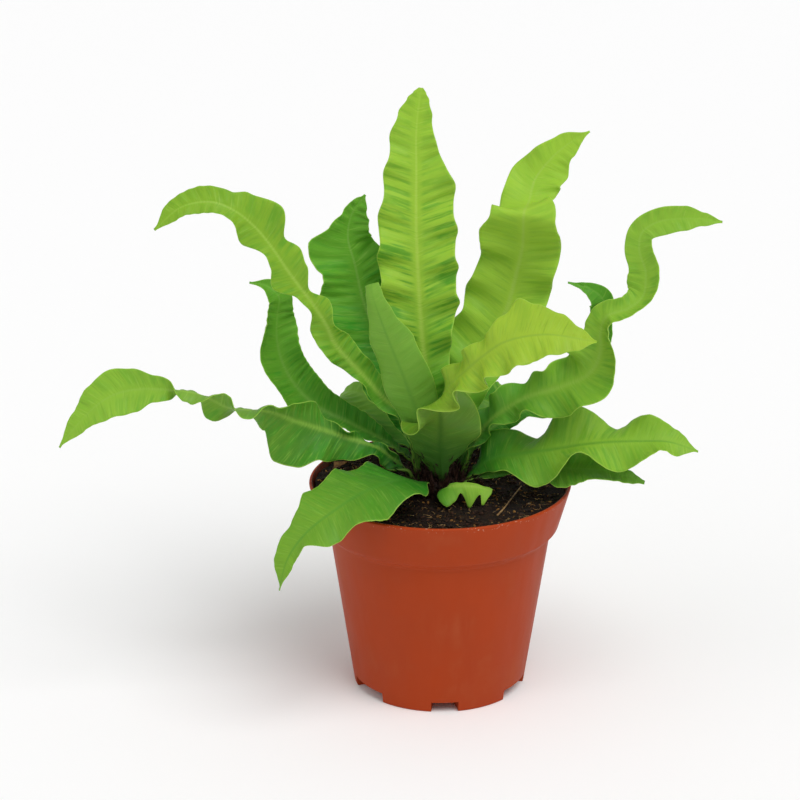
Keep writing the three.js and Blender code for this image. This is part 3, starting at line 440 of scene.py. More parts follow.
def cut(body, tool):
    """The first bmesh with the second taken out of it."""
    objects = []
    for bm in (body, tool):
        mesh = bpy.data.meshes.new("cut")
        bm.to_mesh(mesh)
        bm.free()
        objects.append(bpy.data.objects.new("cut", mesh))
        bpy.context.scene.collection.objects.link(objects[-1])
    modifier = objects[0].modifiers.new("cut", "BOOLEAN")
    modifier.operation = "DIFFERENCE"
    modifier.solver = "EXACT"
    modifier.use_self = True
    modifier.object = objects[1]
    bpy.context.view_layer.update()
    result = bmesh.new()
    result.from_object(objects[0], bpy.context.evaluated_depsgraph_get())
    for made in objects:
        mesh = made.data
        bpy.data.objects.remove(made)
        bpy.data.meshes.remove(mesh)
    return result


# --- settings that a user would change --------------------------------------------------------
def colour_setting(name, description, code):
    """A setting for a colour, with a hex value to start from."""
    return FloatVectorProperty(name=name, description=description, subtype="COLOR", size=3,
                               min=0, max=1, default=linear(code))


class FernPotSettings(bpy.types.PropertyGroup):
    """The moulded pot."""
    plastic: colour_setting("Plastic", "Colour of the pot's plastic", "#A63C12")
    edge_round: FloatProperty(
        name="Edge rounding", description="Radius of the rim's edges in millimetres",
        default=0.7, min=0.2, max=0.78)
    steps: IntProperty(
        name="Sides", description="Steps round the pot", default=192, min=48, max=384)


class FernSoilSettings(bpy.types.PropertyGroup):
    """The potting mix."""
    peat: colour_setting("Peat", "Colour of the damp peat", "#140B06")
    crumbs: IntProperty(
        name="Crumbs", description="Loose crumbs on the soil", default=4200, min=0, max=8000)
    crumb_size: FloatProperty(
        name="Crumb size", description="Radius of a middling crumb in millimetres",
        default=0.48, min=0.2, max=3)
    fibres: IntProperty(
        name="Fibres", description="Fine roots and stalks on the soil", default=220, min=0,
        max=1000)


class FernCrownSettings(bpy.types.PropertyGroup):
    """The crown and its scales."""
    scale_colour: colour_setting("Scales", "Colour of the crown's scales", "#1D110C")
    scales: IntProperty(
        name="Scales on the crown", description="Number of scales", default=620, min=0, max=2000)
    stalk_scales: IntProperty(
        name="Scales on a stalk", description="Number of scales up each frond's stalk",
        default=46, min=0, max=200)
    scale_length: FloatProperty(
        name="Scale length", description="Length of a scale in millimetres",
        default=5.5, min=1, max=15)


class FernLeafSettings(bpy.types.PropertyGroup):
    """The fronds' blades."""
    row_step: FloatProperty(
        name="Row step", description="Length between two rows of a blade in millimetres",
        default=0.85, min=0.4, max=5)
    columns: IntProperty(
        name="Columns", description="Faces across a blade", default=30, min=8, max=60)
    vein_pitch: FloatProperty(
        name="Vein spacing", description="Length between two side veins in millimetres",
        default=1.5, min=0.5, max=4)
    pleat_pitch: FloatProperty(
        name="Pleat spacing", description="Length between two pleats in millimetres",
        default=4.5, min=2, max=12)
    pleat_height: FloatProperty(
        name="Pleat height", description="Height of the pleats between side veins in millimetres",
        default=0.42, min=0, max=1)
    margin_colour: colour_setting("Margin", "Colour of the thin pale margin", "#A9CB52")
    gloss_roughness: FloatProperty(
        name="Roughness", description="Roughness of the leaf's skin", subtype="FACTOR",
        default=0.5, min=0, max=1)


class FernStageSettings(bpy.types.PropertyGroup):
    """Floor, light and camera."""
    floor: colour_setting("Floor", "Colour of the plain floor", "#FCFCFC")
    key_strength: FloatProperty(
        name="Key light", description="Strength of the large soft light from the upper right",
        default=1.75, min=0)
    fill_strength: FloatProperty(
        name="Fill light", description="Strength of the soft light from the left",
        default=0.35, min=0)
    sky: FloatProperty(
        name="Surround", description="Strength of the even light from all round",
        default=0.5, min=0)


# --- pot --------------------------------------------------------------------------------------
ROUND_STEPS = 6    # faces round each soft corner of the pot's outline
NOTCH_STEPS = 10   # faces along each notch
FLOOR_ROUND = 1    # radius of the corner between wall and floor inside
OVERRUN = 3        # how far the room inside runs past the rim, so that it cuts it open
DRAIN_STEPS = 24
DRAIN_CUT = 9      # depth of the cut for a drain hole, which ends in the air on both sides
DARKER_INSIDE_FROM = 84   # heights between which the inside of the band grows darker
DARKER_INSIDE_FULL = 87


def wall_radius(z):
    """Radius of the pot's outside below its band."""
    return BASE_RADIUS + (SHOULDER_RADIUS - BASE_RADIUS) * z / BAND_FOOT


def band_radius(z):
    """Radius of the band under the rim."""
    return BAND_FOOT_RADIUS + (RIM_RADIUS - BAND_FOOT_RADIUS) * (z - BAND_FOOT) / BAND_HEIGHT


def pot_outside(edge_round):
    """The pot's outside and rim, with a lid just below the rim that the room inside takes out."""
    shoulder = BAND_FOOT - SHOULDER_DROP
    return rounded([
        (0, 0, 0),
        (BASE_RADIUS, 0, edge_round),
        (wall_radius(shoulder), shoulder, STEP_ROUND),
        (BAND_FOOT_RADIUS, BAND_FOOT, STEP_ROUND),
        (RIM_RADIUS, POT_HEIGHT, edge_round),
        (RIM_RADIUS - WALL, POT_HEIGHT, edge_round),
        (RIM_RADIUS - 2 * WALL, POT_HEIGHT - 2 * WALL, 0),
        (0, POT_HEIGHT - 2 * WALL, 0),
    ])


def pot_room():
    """The room inside the pot, which runs on past its rim."""
    shoulder = BAND_FOOT - SHOULDER_DROP
    top = POT_HEIGHT + OVERRUN
    return rounded([
        (0, WALL, 0),
        (wall_radius(WALL) - WALL, WALL, FLOOR_ROUND),
        (wall_radius(shoulder) - WALL, shoulder, STEP_ROUND),
        (BAND_FOOT_RADIUS - WALL, BAND_FOOT, STEP_ROUND),
        (band_radius(top) - WALL, top, 0),
        (0, top, 0),
    ])


def notch_blocks(grow):
    """The drainage notches as cut from outside or, grown by a wall, as they stand up inside."""
    blocks = []
    for index in range(360 // NOTCH_STEP):
        spread = WIDE_NOTCH if index % 2 else NARROW_NOTCH
        spread += 2 * math.degrees(grow / BASE_RADIUS)
        start = math.radians(FIRST_NOTCH + index * NOTCH_STEP - spread / 2)
        inner, outer = BASE_RADIUS - NOTCH_DEPTH - grow, BASE_RADIUS + NOTCH_DEPTH
        low, high = -NOTCH_HEIGHT, NOTCH_HEIGHT + grow
        bm = bmesh.new()
        corners = [bm.verts.new((radius, 0, z)) for radius, z in
                   ((inner, low), (outer, low), (outer, high), (inner, high))]
        edges = [bm.edges.new(pair) for pair in zip(corners, corners[1:] + corners[:1])]
        bmesh.ops.spin(bm, geom=corners + edges, axis=(0, 0, 1), cent=(0, 0, 0),
                       steps=NOTCH_STEPS, angle=math.radians(spread), use_duplicate=False)
        close_up(bm)
        bmesh.ops.rotate(bm, verts=bm.verts, matrix=Matrix.Rotation(start, 3, "Z"))
        blocks.append(bm)
    return joined(blocks)


def drain_holes():
    """A plain round hole through the roof of each notch."""
    bm = bmesh.new()
    radius = BASE_RADIUS - NOTCH_DEPTH / 2 - WALL
    for index in range(360 // NOTCH_STEP):
        turn = Matrix.Rotation(math.radians(FIRST_NOTCH + index * NOTCH_STEP), 4, "Z")
        place = turn @ Matrix.Translation((radius, 0, NOTCH_HEIGHT + WALL / 2))
        bmesh.ops.create_cone(bm, cap_ends=True, segments=DRAIN_STEPS, radius1=DRAIN_RADIUS,
                              radius2=DRAIN_RADIUS, depth=DRAIN_CUT, matrix=place)
    return bm


def pot_material(settings):
    """Polypropylene, injection moulded: even and satin, a little paler where it is handled, with
    pale grit along the rim, and darker on the inside of the band just above the soil."""
    material, tree = new_material("moulded polypropylene")
    place = add(tree, "TexCoord").outputs["Object"]
    height = add(tree, "SeparateXYZ", {0: place}).outputs[2]
    drawn_out = add(tree, "Mapping", {"Vector": place, "Scale": (1, 1, 0.12)})
    cloud, streaks, grit, grain = (
        add(tree, "TexNoise", {"Vector": where, "Scale": PER_MM / size, "Detail": detail,
                               "Roughness": NOISE_ROUGHNESS})
        for where, size, detail in ((place, 28, 4), (drawn_out, 6, 3), (place, 1.1, 2),
                                    (place, 0.6, 2)))

    # The band's wall is upright where its slope is taken off the distance from the axis.
    level = add(tree, "Mapping", {"Vector": place, "Scale": (1, 1, 0)})
    distance = add(tree, "VectorMath", {0: level}, operation="LENGTH").outputs["Value"]
    slope = (RIM_RADIUS - BAND_FOOT_RADIUS) / BAND_HEIGHT
    upright = add(tree, "Math", {0: height, 1: -slope, 2: distance}, operation="MULTIPLY_ADD")
    face = band_radius(0)
    # Darker on the inside of the band, from a little below the soil up to the rim.
    darker_inside_band = eased(tree, (upright, (face - 0.95 * WALL) * MM, (face - 0.7 * WALL) * MM, 0.8, 0),
                   (height, DARKER_INSIDE_FROM * MM, DARKER_INSIDE_FULL * MM, 0, 1), (grit, 0.3, 0.5, 0.6, 1))
    gritty = eased(tree, (grit, 0.64, 0.7, 0, 0.7),
                   (height, (POT_HEIGHT - 3) * MM, (POT_HEIGHT - 0.5) * MM, 0, 1))
    colour = painted(tree, opaque(settings.plastic[:]), [
        (eased(tree, (cloud, 0.3, 0.7, 0, 0.35)), "#953614"),
        (eased(tree, (cloud, 0.45, 0.75, 0, 0.14), (streaks, 0.35, 0.7, 0, 1)), "#C47A52"),
        (gritty, "#E2C4AC"),
        (darker_inside_band, "#2A1810"),
    ])
    dented = add(tree, "Bump", {"Height": cloud, "Distance": 0.5 * MM, "Strength": 0.12})
    grained = add(tree, "Bump", {"Height": grain, "Distance": 0.04 * MM, "Strength": 0.35,
                                 "Normal": dented})
    surface(tree, {"Base Color": colour, "Normal": grained, "IOR": 1.49,
                   "Roughness": eased(tree, (streaks, 0.3, 0.8, 0.46, 0.6)),
                   "Specular IOR Level": 0.14})
    return material


class FERN_OT_pot(bpy.types.Operator):
    """Makes the nursery pot with its band, rounded rim and drainage notches"""
    bl_idname = "fern.pot"
    bl_label = "Pot"

    def execute(self, context):
        settings = context.scene.fern_pot
        outside = spun(pot_outside(settings.edge_round), settings.steps, whole=False)
        room = spun(pot_room(), settings.steps, whole=False)
        pot = cut(outside, notch_blocks(0))
        pot = cut(pot, cut(room, notch_blocks(WALL)))
        pot = cut(pot, drain_holes())
        finish_piece(pot, "pot_moulded", [pot_material(settings)], ["pot"],
                     sharp_degrees=32)
        return {"FINISHED"}


# --- soil -------------------------------------------------------------------------------------
HEAP_HEIGHT = 2.6               # the soil heaped against the wall at the back left
HEAP_ANGLE = math.radians(150)
CRUMB_SHARES = (56, 26, 16, 2)  # of peat, bark, wood fibre and pale grit
CRUMB_SIZES = (1, 1, 0.75, 0.6)
CRUMB_SPREAD = 0.42             # how much crumbs of one kind differ in size
CRUMB_STRETCH = ((0.8, 2.3), (0.5, 1), (0.4, 0.9))  # least and most along, across and upward
CRUMB_TILT = 0.6                # in radians
CRUMB_LIFT = 0.25               # of its size, so that a crumb lies half sunk
CRUMB_ROUGH = 0.16              # of its size, for each corner
BATCH = 200                     # crumbs or scales made in one mesh before they are joined

SOIL_RADIUS = band_radius(SOIL_EDGE) - WALL - FIT
LOOSE_OUTER = band_radius(SOIL_EDGE) - WALL - 2     # loose crumbs and roots lie between
LOOSE_INNER = CROWN_RADIUS + 1                      # these two distances from the axis
SOIL_RINGS = 64
SOIL_STEPS = 300
SOIL_DEPTH = 4
SOIL_SLOPE = 0.29               # how far the wall leans in for each millimetre down
TUCKED_IN = 2                   # how far the soil runs in under the crown
CLOD_HEIGHT = 0.9               # of the uneven lie of the soil, whose clods are
CLOD_SIZE = 7                   # about this far apart
CRUMBLE_HEIGHT = 0.55
CRUMBLE_SIZE = 1.9
LOOSE_LIFT = 0.2                # how far the loose top lies above the solid
RIM_CLEAR = 0.6                 # the least that it stays below the rim

STRAW_LAY = ((25, -33), (28, -26), (31, -18), (34, -11), (37, -4))
STRAW_RADIUS = 0.42
STRAW_LIFT = 1.1                # height of its front end above the soil,
STRAW_RISE = 0.25               # and how much higher each of its points lies
ROOT_STEPS = 5                  # points of a fine root
ROOT_LIFT = 0.3

# Bits of dead leaf: place, heading, length, width, and 0 for brown or 1 for pale.
LITTER = ((-49, 20, (0.9, -0.3, 0.25), 8, 4.5, 0), (-42, 24, (-0.6, -0.7, 0.35), 6, 3, 0),
          (42, 6, (0.8, -0.6, 0.05), 9, 3.2, 1))
LITTER_FACING = Vector((0, -0.5, 1))
LITTER_LIFT = 0.6
LITTER_CURL = 0.12


def soil_height(x, y):
    """Height of the soil's surface at a place: the solid's own rise and lumps, a heap against
    the wall, and clods and crumbs."""
    out = min(math.hypot(x, y) / SOIL_RADIUS, 1)
    z = SOIL_MIDDLE + (SOIL_EDGE - SOIL_MIDDLE) * out * out
    z += SOIL_LUMP * (math.sin(LUMP_ALONG_X * x + 1) * math.cos(LUMP_ALONG_Y * y)
                      + math.sin(LUMP_ACROSS * (x - y)))
    toward_heap = math.cos(math.atan2(y, x) - HEAP_ANGLE)
    z += HEAP_HEIGHT * smooth(0.45, 0.95, out) * smooth(-0.4, 0.5, toward_heap)
    z += CLOD_HEIGHT * noise.fractal(Vector((x, y, 3)) / CLOD_SIZE, 0.7, 2.2, 5)
    z += LOOSE_LIFT + CRUMBLE_HEIGHT * abs(noise.noise(Vector((x, y, 9)) / CRUMBLE_SIZE))
    return min(z, POT_HEIGHT - RIM_CLEAR)


def soil_surface():
    """A ring of crumbly soil between the crown and the pot's wall, closed below."""
    inner = CROWN_RADIUS - TUCKED_IN
    top = [(inner + (SOIL_RADIUS - inner) * i / SOIL_RINGS, SOIL_MIDDLE)
           for i in range(SOIL_RINGS + 1)]
    low = SOIL_EDGE - SOIL_DEPTH
    bm = spun(top + [(SOIL_RADIUS - SOIL_DEPTH * SOIL_SLOPE, low), (inner, low)], SOIL_STEPS)
    for vert in bm.verts:
        if vert.co.z > SOIL_MIDDLE - 1:
            vert.co.z = soil_height(vert.co.x, vert.co.y)
    bm.normal_update()
    return bm


def soil_material(settings):
    """Damp peat: very dark, rough and fibrous, with brown and tan fibres in it."""
    material, tree = new_material("damp peat potting mix")
    place = add(tree, "TexCoord").outputs["Object"]
    lumps, fine = (
        add(tree, "TexNoise", {"Vector": place, "Scale": PER_MM / size, "Detail": detail,
                               "Roughness": 0.7})
        for size, detail in ((5, 6), (1.1, 4)))
    specks = add(tree, "TexVoronoi", {"Vector": place, "Scale": PER_MM / 2.2})
    colour = painted(tree, opaque(settings.peat[:]), [
        (eased(tree, (lumps, 0.4, 0.72, 0, 1)), "#2C1A0F"),
        (eased(tree, (fine, 0.6, 0.72, 0, 0.8)), "#6B4526"),
        (eased(tree, (specks, 0.1, 0.2, 0.7, 0), (lumps, 0.5, 0.62, 0, 1)), "#9A7344"),
    ])
    lumpy = add(tree, "Bump", {"Height": lumps, "Distance": 1.2 * MM, "Strength": 0.6})
    fibrous = add(tree, "Bump", {"Height": fine, "Distance": 0.5 * MM, "Strength": 0.8,
                                 "Normal": lumpy})
    surface(tree, {"Base Color": colour, "Normal": fibrous, "Roughness": 0.92,
                   "Specular IOR Level": 0.25})
    return material


def plain_matter(name, colour, second, size_mm, roughness=0.85):
    """A rough matter of two colours in patches, such as bark, straw or dried scales."""
    material, tree = new_material(name)
    place = add(tree, "TexCoord").outputs["Object"]
    spots = add(tree, "TexNoise", {"Vector": place, "Scale": PER_MM / size_mm, "Detail": 3,
                                   "Roughness": NOISE_ROUGHNESS})
    surface(tree, {
        "Base Color": painted(tree, colour, [(eased(tree, (spots, 0.35, 0.65, 0, 1)), second)]),
        "Normal": add(tree, "Bump", {"Height": spots, "Distance": 0.15 * MM, "Strength": 0.5}),
        "Roughness": roughness, "Specular IOR Level": 0.3})
    return material


def on_soil(draw, clear=LOOSE_INNER):
    """A place on the soil, picked evenly between the crown and the pot's wall."""
    radius = math.sqrt(draw.uniform(clear ** 2, LOOSE_OUTER ** 2))
    angle = draw.uniform(0, TURN)
    x, y = radius * math.cos(angle), radius * math.sin(angle)
    return Vector((x, y, soil_height(x, y)))


def soil_crumbs(settings):
    """Loose crumbs of peat, bark, fibre and a few pale grains, half sunk in the soil."""
    draw = random.Random(11)
    heaps = []
    for index in range(settings.crumbs):
        if index % BATCH == 0:
            heaps.append(bmesh.new())
        kind = draw.choices((0, 1, 2, 3), CRUMB_SHARES)[0]
        size = CRUMB_SIZES[kind] * settings.crumb_size * draw.lognormvariate(0, CRUMB_SPREAD)
        flat = Matrix.Diagonal([*(draw.uniform(*limits) for limits in CRUMB_STRETCH), 1])
        turn = Matrix.Rotation(draw.uniform(0, TURN), 4, "Z") @ Matrix.Rotation(
            draw.uniform(-CRUMB_TILT, CRUMB_TILT), 4, "X")
        place = Matrix.Translation(on_soil(draw) + Vector((0, 0, size * CRUMB_LIFT)))
        made = bmesh.ops.create_icosphere(heaps[-1], subdivisions=1, radius=size,
                                          matrix=place @ turn @ flat)
        for vert in made["verts"]:
            vert.co += Vector([draw.uniform(-CRUMB_ROUGH, CRUMB_ROUGH) * size
                               for _ in range(3)])
            for face in vert.link_faces:
                face.material_index = kind
    return joined(heaps)


def bent_stick(bm, points, radius, taper, sides):
    """A stalk along a line of points, drawn out ring by ring from a circle."""
    places = [Vector(p) for p in points]
    heading = (places[1] - places[0]).normalized()
    made = bmesh.ops.create_circle(bm, cap_ends=True, segments=sides, radius=radius,
                                   matrix=Matrix.Translation(places[0])
                                   @ heading.to_track_quat("Z", "Y").to_matrix().to_4x4())
    cap = made["verts"][0].link_faces[0]
    shrink = 1 - (1 - taper) / (len(places) - 1)
    for index, place in enumerate(places[1:], 1):
        following = places[min(index + 1, len(places) - 1)] - places[index - 1]
        ring = bmesh.ops.extrude_face_region(bm, geom=[cap], use_keep_orig=index == 1)["geom"]
        cap = next(g for g in ring if isinstance(g, bmesh.types.BMFace))
        turn = heading.rotation_difference(following.normalized()).to_matrix()
        for vert in cap.verts:
            vert.co = place + turn @ ((vert.co - places[index - 1]) * shrink)
        heading = following.normalized()


def soil_straws(settings):
    """The straw stalk at the front right and fine roots and stalks round the pot."""
    bm = bmesh.new()
    bent_stick(bm, [(x, y, soil_height(x, y) + STRAW_LIFT + STRAW_RISE * i)
                    for i, (x, y) in enumerate(STRAW_LAY)], STRAW_RADIUS, 0.55, 8)
    draw = random.Random(5)
    for _ in range(settings.fibres):
        start = on_soil(draw, LOOSE_INNER + 3)
        angle = draw.uniform(0, TURN)
        curl = draw.uniform(-0.5, 0.5)
        length = draw.uniform(0.5, 1.6)
        points = []
        for _ in range(ROOT_STEPS):
            start = start + Vector((math.cos(angle), math.sin(angle), 0)) * length
            angle += curl
            if not LOOSE_INNER <= math.hypot(start.x, start.y) <= LOOSE_OUTER:
                break
            points.append((start.x, start.y, soil_height(start.x, start.y) + ROOT_LIFT))
        if len(points) > 2:
            bent_stick(bm, points, draw.uniform(0.08, 0.2), 0.5, 6)
    bmesh.ops.recalc_face_normals(bm, faces=bm.faces)
    return bm


def soil_litter():
    """Two curls of brown dead leaf at the back left and the tip of a pale one at the right."""
    bm = bmesh.new()
    for x, y, heading, length, width, material in LITTER:
        place = Vector((x, y, soil_height(x, y) + LITTER_LIFT))
        ahead = Vector(heading).normalized()
        facing = (LITTER_FACING - ahead * LITTER_FACING.dot(ahead)).normalized()
        before = set(bm.faces)
        one_scale(bm, place, ahead, facing, length, width, LITTER_CURL)
        for face in set(bm.faces) - before:
            face.material_index = material
    bmesh.ops.recalc_face_normals(bm, faces=bm.faces)
    return bm


class FERN_OT_soil(bpy.types.Operator):
    """Makes the crumbly top of the potting mix, its loose crumbs and stalks"""
    bl_idname = "fern.soil"
    bl_label = "Soil"

    def execute(self, context):
        settings = context.scene.fern_soil
        peat = soil_material(settings)
        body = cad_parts["soil"]
        body.data.materials.clear()
        body.data.materials.append(peat)
        finish_piece(soil_surface(), "soil_surface", [peat])
        crumbs = [
            plain_matter("peat crumb", "#150C07", "#2A190C", 1.0),
            plain_matter("composted bark", "#422612", "#1E110A", 1.4),
            plain_matter("wood fibre", "#94682F", "#5A3A1A", 1.2),
            plain_matter("pale grit", "#C9B28C", "#A98F66", 0.8),
        ]
        finish_piece(soil_crumbs(settings), "soil_crumbs", crumbs)
        straw = plain_matter("dry straw", "#B08D5C", "#7A5A34", 2.0, 0.6)
        finish_piece(soil_straws(settings), "soil_straws", [straw])
        litter = [plain_matter("dead leaf", "#8C6538", "#5E3E20", 2.5, 0.7),
                  plain_matter("wilted leaf", "#9DB070", "#6F8E48", 3.0, 0.6)]
        finish_piece(soil_litter(), "soil_litter", litter)
        return {"FINISHED"}


# --- crown ------------------------------------------------------------------------------------
SCALY_STRETCH = 13    # how far up a stalk its scales reach, in millimetres
SCALY_SHARE = 0.12    # and at most this share of its frond
SCALE_TAPER = 1.6     # power by which a scale narrows toward its tip
SCALE_TIP = 0.04      # half of its width at the tip, in millimetres
SCALE_THICK = 0.12
SCALE_HOLLOW = 0.25   # how much a scale is hollowed along, as a share of its width
SCALE_SUNK = 0.4      # how deep its foot stands in the crown
CROWN_SCALE_WIDTH = 0.2     # of its length, as is the next
STALK_SCALE_WIDTH = 0.14


def crown_place(angle, share):
    """A place on the crown's dome and the way it faces there."""
    lift = math.pi / 2 * share
    radius = CROWN_RADIUS * math.cos(lift)
    place = Vector((radius * math.cos(angle), radius * math.sin(angle),
                    CROWN_SHOULDER + (CROWN_TOP - CROWN_SHOULDER) * math.sin(lift)))
    facing = Vector((math.cos(lift) * math.cos(angle), math.cos(lift) * math.sin(angle),
                     math.sin(lift) * CROWN_RADIUS / (CROWN_TOP - CROWN_SHOULDER)))
    return place, facing.normalized()


def one_scale(bm, place, heading, facing, length, width, curl):
    """A narrow pointed scale, with its foot at a place and its tip along the heading."""
    made = bmesh.ops.create_grid(bm, x_segments=2, y_segments=4, size=1)["verts"]
    side = heading.cross(facing).normalized()
    up = side.cross(heading).normalized()
    for vert in made:
        s, t = vert.co.x, (vert.co.y + 1) / 2
        half = width / 2 * (1 - t ** SCALE_TAPER) + SCALE_TIP
        vert.co = (place + heading * (length * t) + side * (half * s)
                   + up * (curl * length * t * t + SCALE_HOLLOW * width * s * s))
    faces = list({face for vert in made for face in vert.link_faces})
    result = bmesh.ops.extrude_face_region(bm, geom=faces, use_keep_orig=True)["geom"]
    for item in result:
        if isinstance(item, bmesh.types.BMVert):
            item.co += up * SCALE_THICK


def crown_scales(settings):
    """Scales all over the crown, and up the lowest stretch of the stalks."""
    draw = random.Random(23)
    tufts = []
    for index in range(settings.scales):
        if index % BATCH == 0:
            tufts.append(bmesh.new())
        place, facing = crown_place(draw.uniform(0, TURN), draw.uniform(0, 0.95))
        upright = Vector((draw.uniform(-0.5, 0.5), draw.uniform(-0.5, 0.5), 1.2))
        heading = (upright + facing * draw.uniform(0.1, 0.9)).normalized()
        length = settings.scale_length * draw.uniform(0.5, 1.25)
        one_scale(tufts[-1], place - facing * SCALE_SUNK, heading, facing, length,
                  length * CROWN_SCALE_WIDTH, draw.uniform(-0.1, 0.35))
    for frond in FRONDS:
        tufts.append(bmesh.new())
        rib = Midrib(frond["path"])
        reach = min(SCALY_STRETCH / (rib.length * (1 - rib.neck)), SCALY_SHARE)
        for _ in range(settings.stalk_scales):
            row = blade_frame(frond, rib, reach * draw.uniform(-0.3, 1) ** 3)
            across = draw.choice((-1, 1)) * draw.uniform(0.3, 1) * (row["halves"][0] + 0.3)
            place = row["point"] + row["side"] * across
            facing = (row["up"] * draw.choice((-1, 1)) + row["side"] * across).normalized()
            heading = (row["ahead"] + facing * draw.uniform(0.1, 0.6)).normalized()
            length = settings.scale_length * draw.uniform(0.35, 0.9)
            one_scale(tufts[-1], place, heading, facing, length, length * STALK_SCALE_WIDTH,
                      draw.uniform(0, 0.3))
    for bm in tufts:
        bmesh.ops.recalc_face_normals(bm, faces=bm.faces)
    return joined(tufts)


class FERN_OT_crown(bpy.types.Operator):
    """Makes the crown's dark, papery scales"""
    bl_idname = "fern.crown"
    bl_label = "Crown"

    def execute(self, context):
        settings = context.scene.fern_crown
        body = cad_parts["crown"]
        body.data.materials.clear()
        body.data.materials.append(plain_matter("fibrous rhizome", "#1B0F0B", "#33201A", 1.2))
        papery = plain_matter("papery fern scale", opaque(settings.scale_colour[:]), "#42291E",
                              2.5, 0.6)
        finish_piece(crown_scales(settings), "crown_scales", [papery])
        return {"FINISHED"}


# --- fronds -----------------------------------------------------------------------------------
VEIN_SLANT = 0.35     # how far a side vein runs toward the tip for each step outward
VEIN_STRETCH = 0.07   # side veins are drawn out to about 14 times their spacing
BULGE = 0.5           # how far a blade swells here and there, in millimetres
BULGE_SIZE = 9
PLEATS_START = 12     # length at the foot over which the pleats begin
PLEAT_DRIFT = 5       # how unevenly the pleats are spaced, in radians of a wave,
DRIFT_ALONG = 26      # and over what lengths along and across that changes
DRIFT_ACROSS = 40
SECOND_PLEAT = 1.7    # spacing of the wider pleats to that of the finer ones
CURVE_STEPS = 60      # points of a midrib between two of its keys
RIB_CROWDING = 1.25   # power that sets the columns closer at the midrib
BLADE_THICK = 0.5
MARGIN_THINNER = 0.28 # how much thinner a blade is at its margin
RIB_GROOVE = 0.14     # depth of the midrib's groove in the upper face
RIB_GROOVE_ENDS = (0.2, 1.8)    # it runs out between these distances from the midrib


class Midrib:
    """A centripetal curve through a frond's points, measured along its length."""

    def __init__(self, path):
        knots = [Vector(point) for point in path]
        knots = [2 * knots[0] - knots[1], *knots, 2 * knots[-1] - knots[-2]]
        self.points = []
        for i in range(1, len(knots) - 2):
            self.points += [self.between(knots[i - 1:i + 3], step / CURVE_STEPS)
                            for step in range(CURVE_STEPS)]
        self.points.append(knots[-2])
        self.lengths = [0.0]
        for first, second in zip(self.points, self.points[1:]):
            self.lengths.append(self.lengths[-1] + (second - first).length)
        self.length = self.lengths[-1]
        self.neck = self.lengths[CURVE_STEPS] / self.length

    @staticmethod
    def between(four, share):
        """A place between the second and the third of four knots."""
        p0, p1, p2, p3 = four
        d0, d1, d2 = ((b - a).length ** 0.5 for a, b in zip(four, four[1:]))
        leave = (p1 - p0) / d0 - (p2 - p0) / (d0 + d1) + (p2 - p1) / d1
        arrive = (p2 - p1) / d1 - (p3 - p1) / (d1 + d2) + (p3 - p2) / d2
        leave, arrive = leave * d1, arrive * d1
        return (p1 + leave * share + (3 * (p2 - p1) - 2 * leave - arrive) * share ** 2
                + (2 * (p1 - p2) + leave + arrive) * share ** 3)

    def at(self, share):
        """The place at a share of the length."""
        wanted = min(max(share, 0.0), 1.0) * self.length
        low, high = 0, len(self.lengths) - 1
        while high - low > 1:
            middle = (low + high) // 2
            if self.lengths[middle] <= wanted:
                low = middle
            else:
                high = middle
        span = self.lengths[high] - self.lengths[low]
        return self.points[low].lerp(self.points[high], (wanted - self.lengths[low]) / span)

    def ahead(self, share):
        """The way it runs at a share of the length."""
        step = 0.001
        return (self.at(share + step) - self.at(share - step)).normalized()


def waves_at(frond, length, t):
    """How many waves the margin has made at t, by adding up the length over the pitch."""
    steps = max(0, math.ceil(WAVE_STEPS * t - 1e-9))
    whole = sum(length / WAVE_STEPS / along(frond["pitch"], (i + 0.5) / WAVE_STEPS)[0]
                for i in range(steps))
    over = steps - WAVE_STEPS * t
    if steps and over > 0:
        whole -= over * length / WAVE_STEPS / along(frond["pitch"], (steps - 0.5) / WAVE_STEPS)[0]
    return whole


def blade_frame(frond, rib, t):
    """Where the blade's row at t is, which ways it runs and faces, and its sizes."""
    share = rib.neck + (1 - rib.neck) * t
    ahead = rib.ahead(share)
    up = Vector(along(frond["faces"], t))
    up = (up - ahead * up.dot(ahead)).normalized()
    ruffle = along(frond["ruffle"], t)
    length = rib.length * (1 - rib.neck)
    return {
        "point": rib.at(share), "ahead": ahead, "up": up, "side": ahead.cross(up),
        "halves": along(frond["outline"], t), "cup": math.radians(along(frond["cup"], t)[0]),
        "ruffle": (ruffle[0], ruffle[-1]) if t > 0 else (0, 0),
        "waves": waves_at(frond, length, t), "along": length * t,
    }


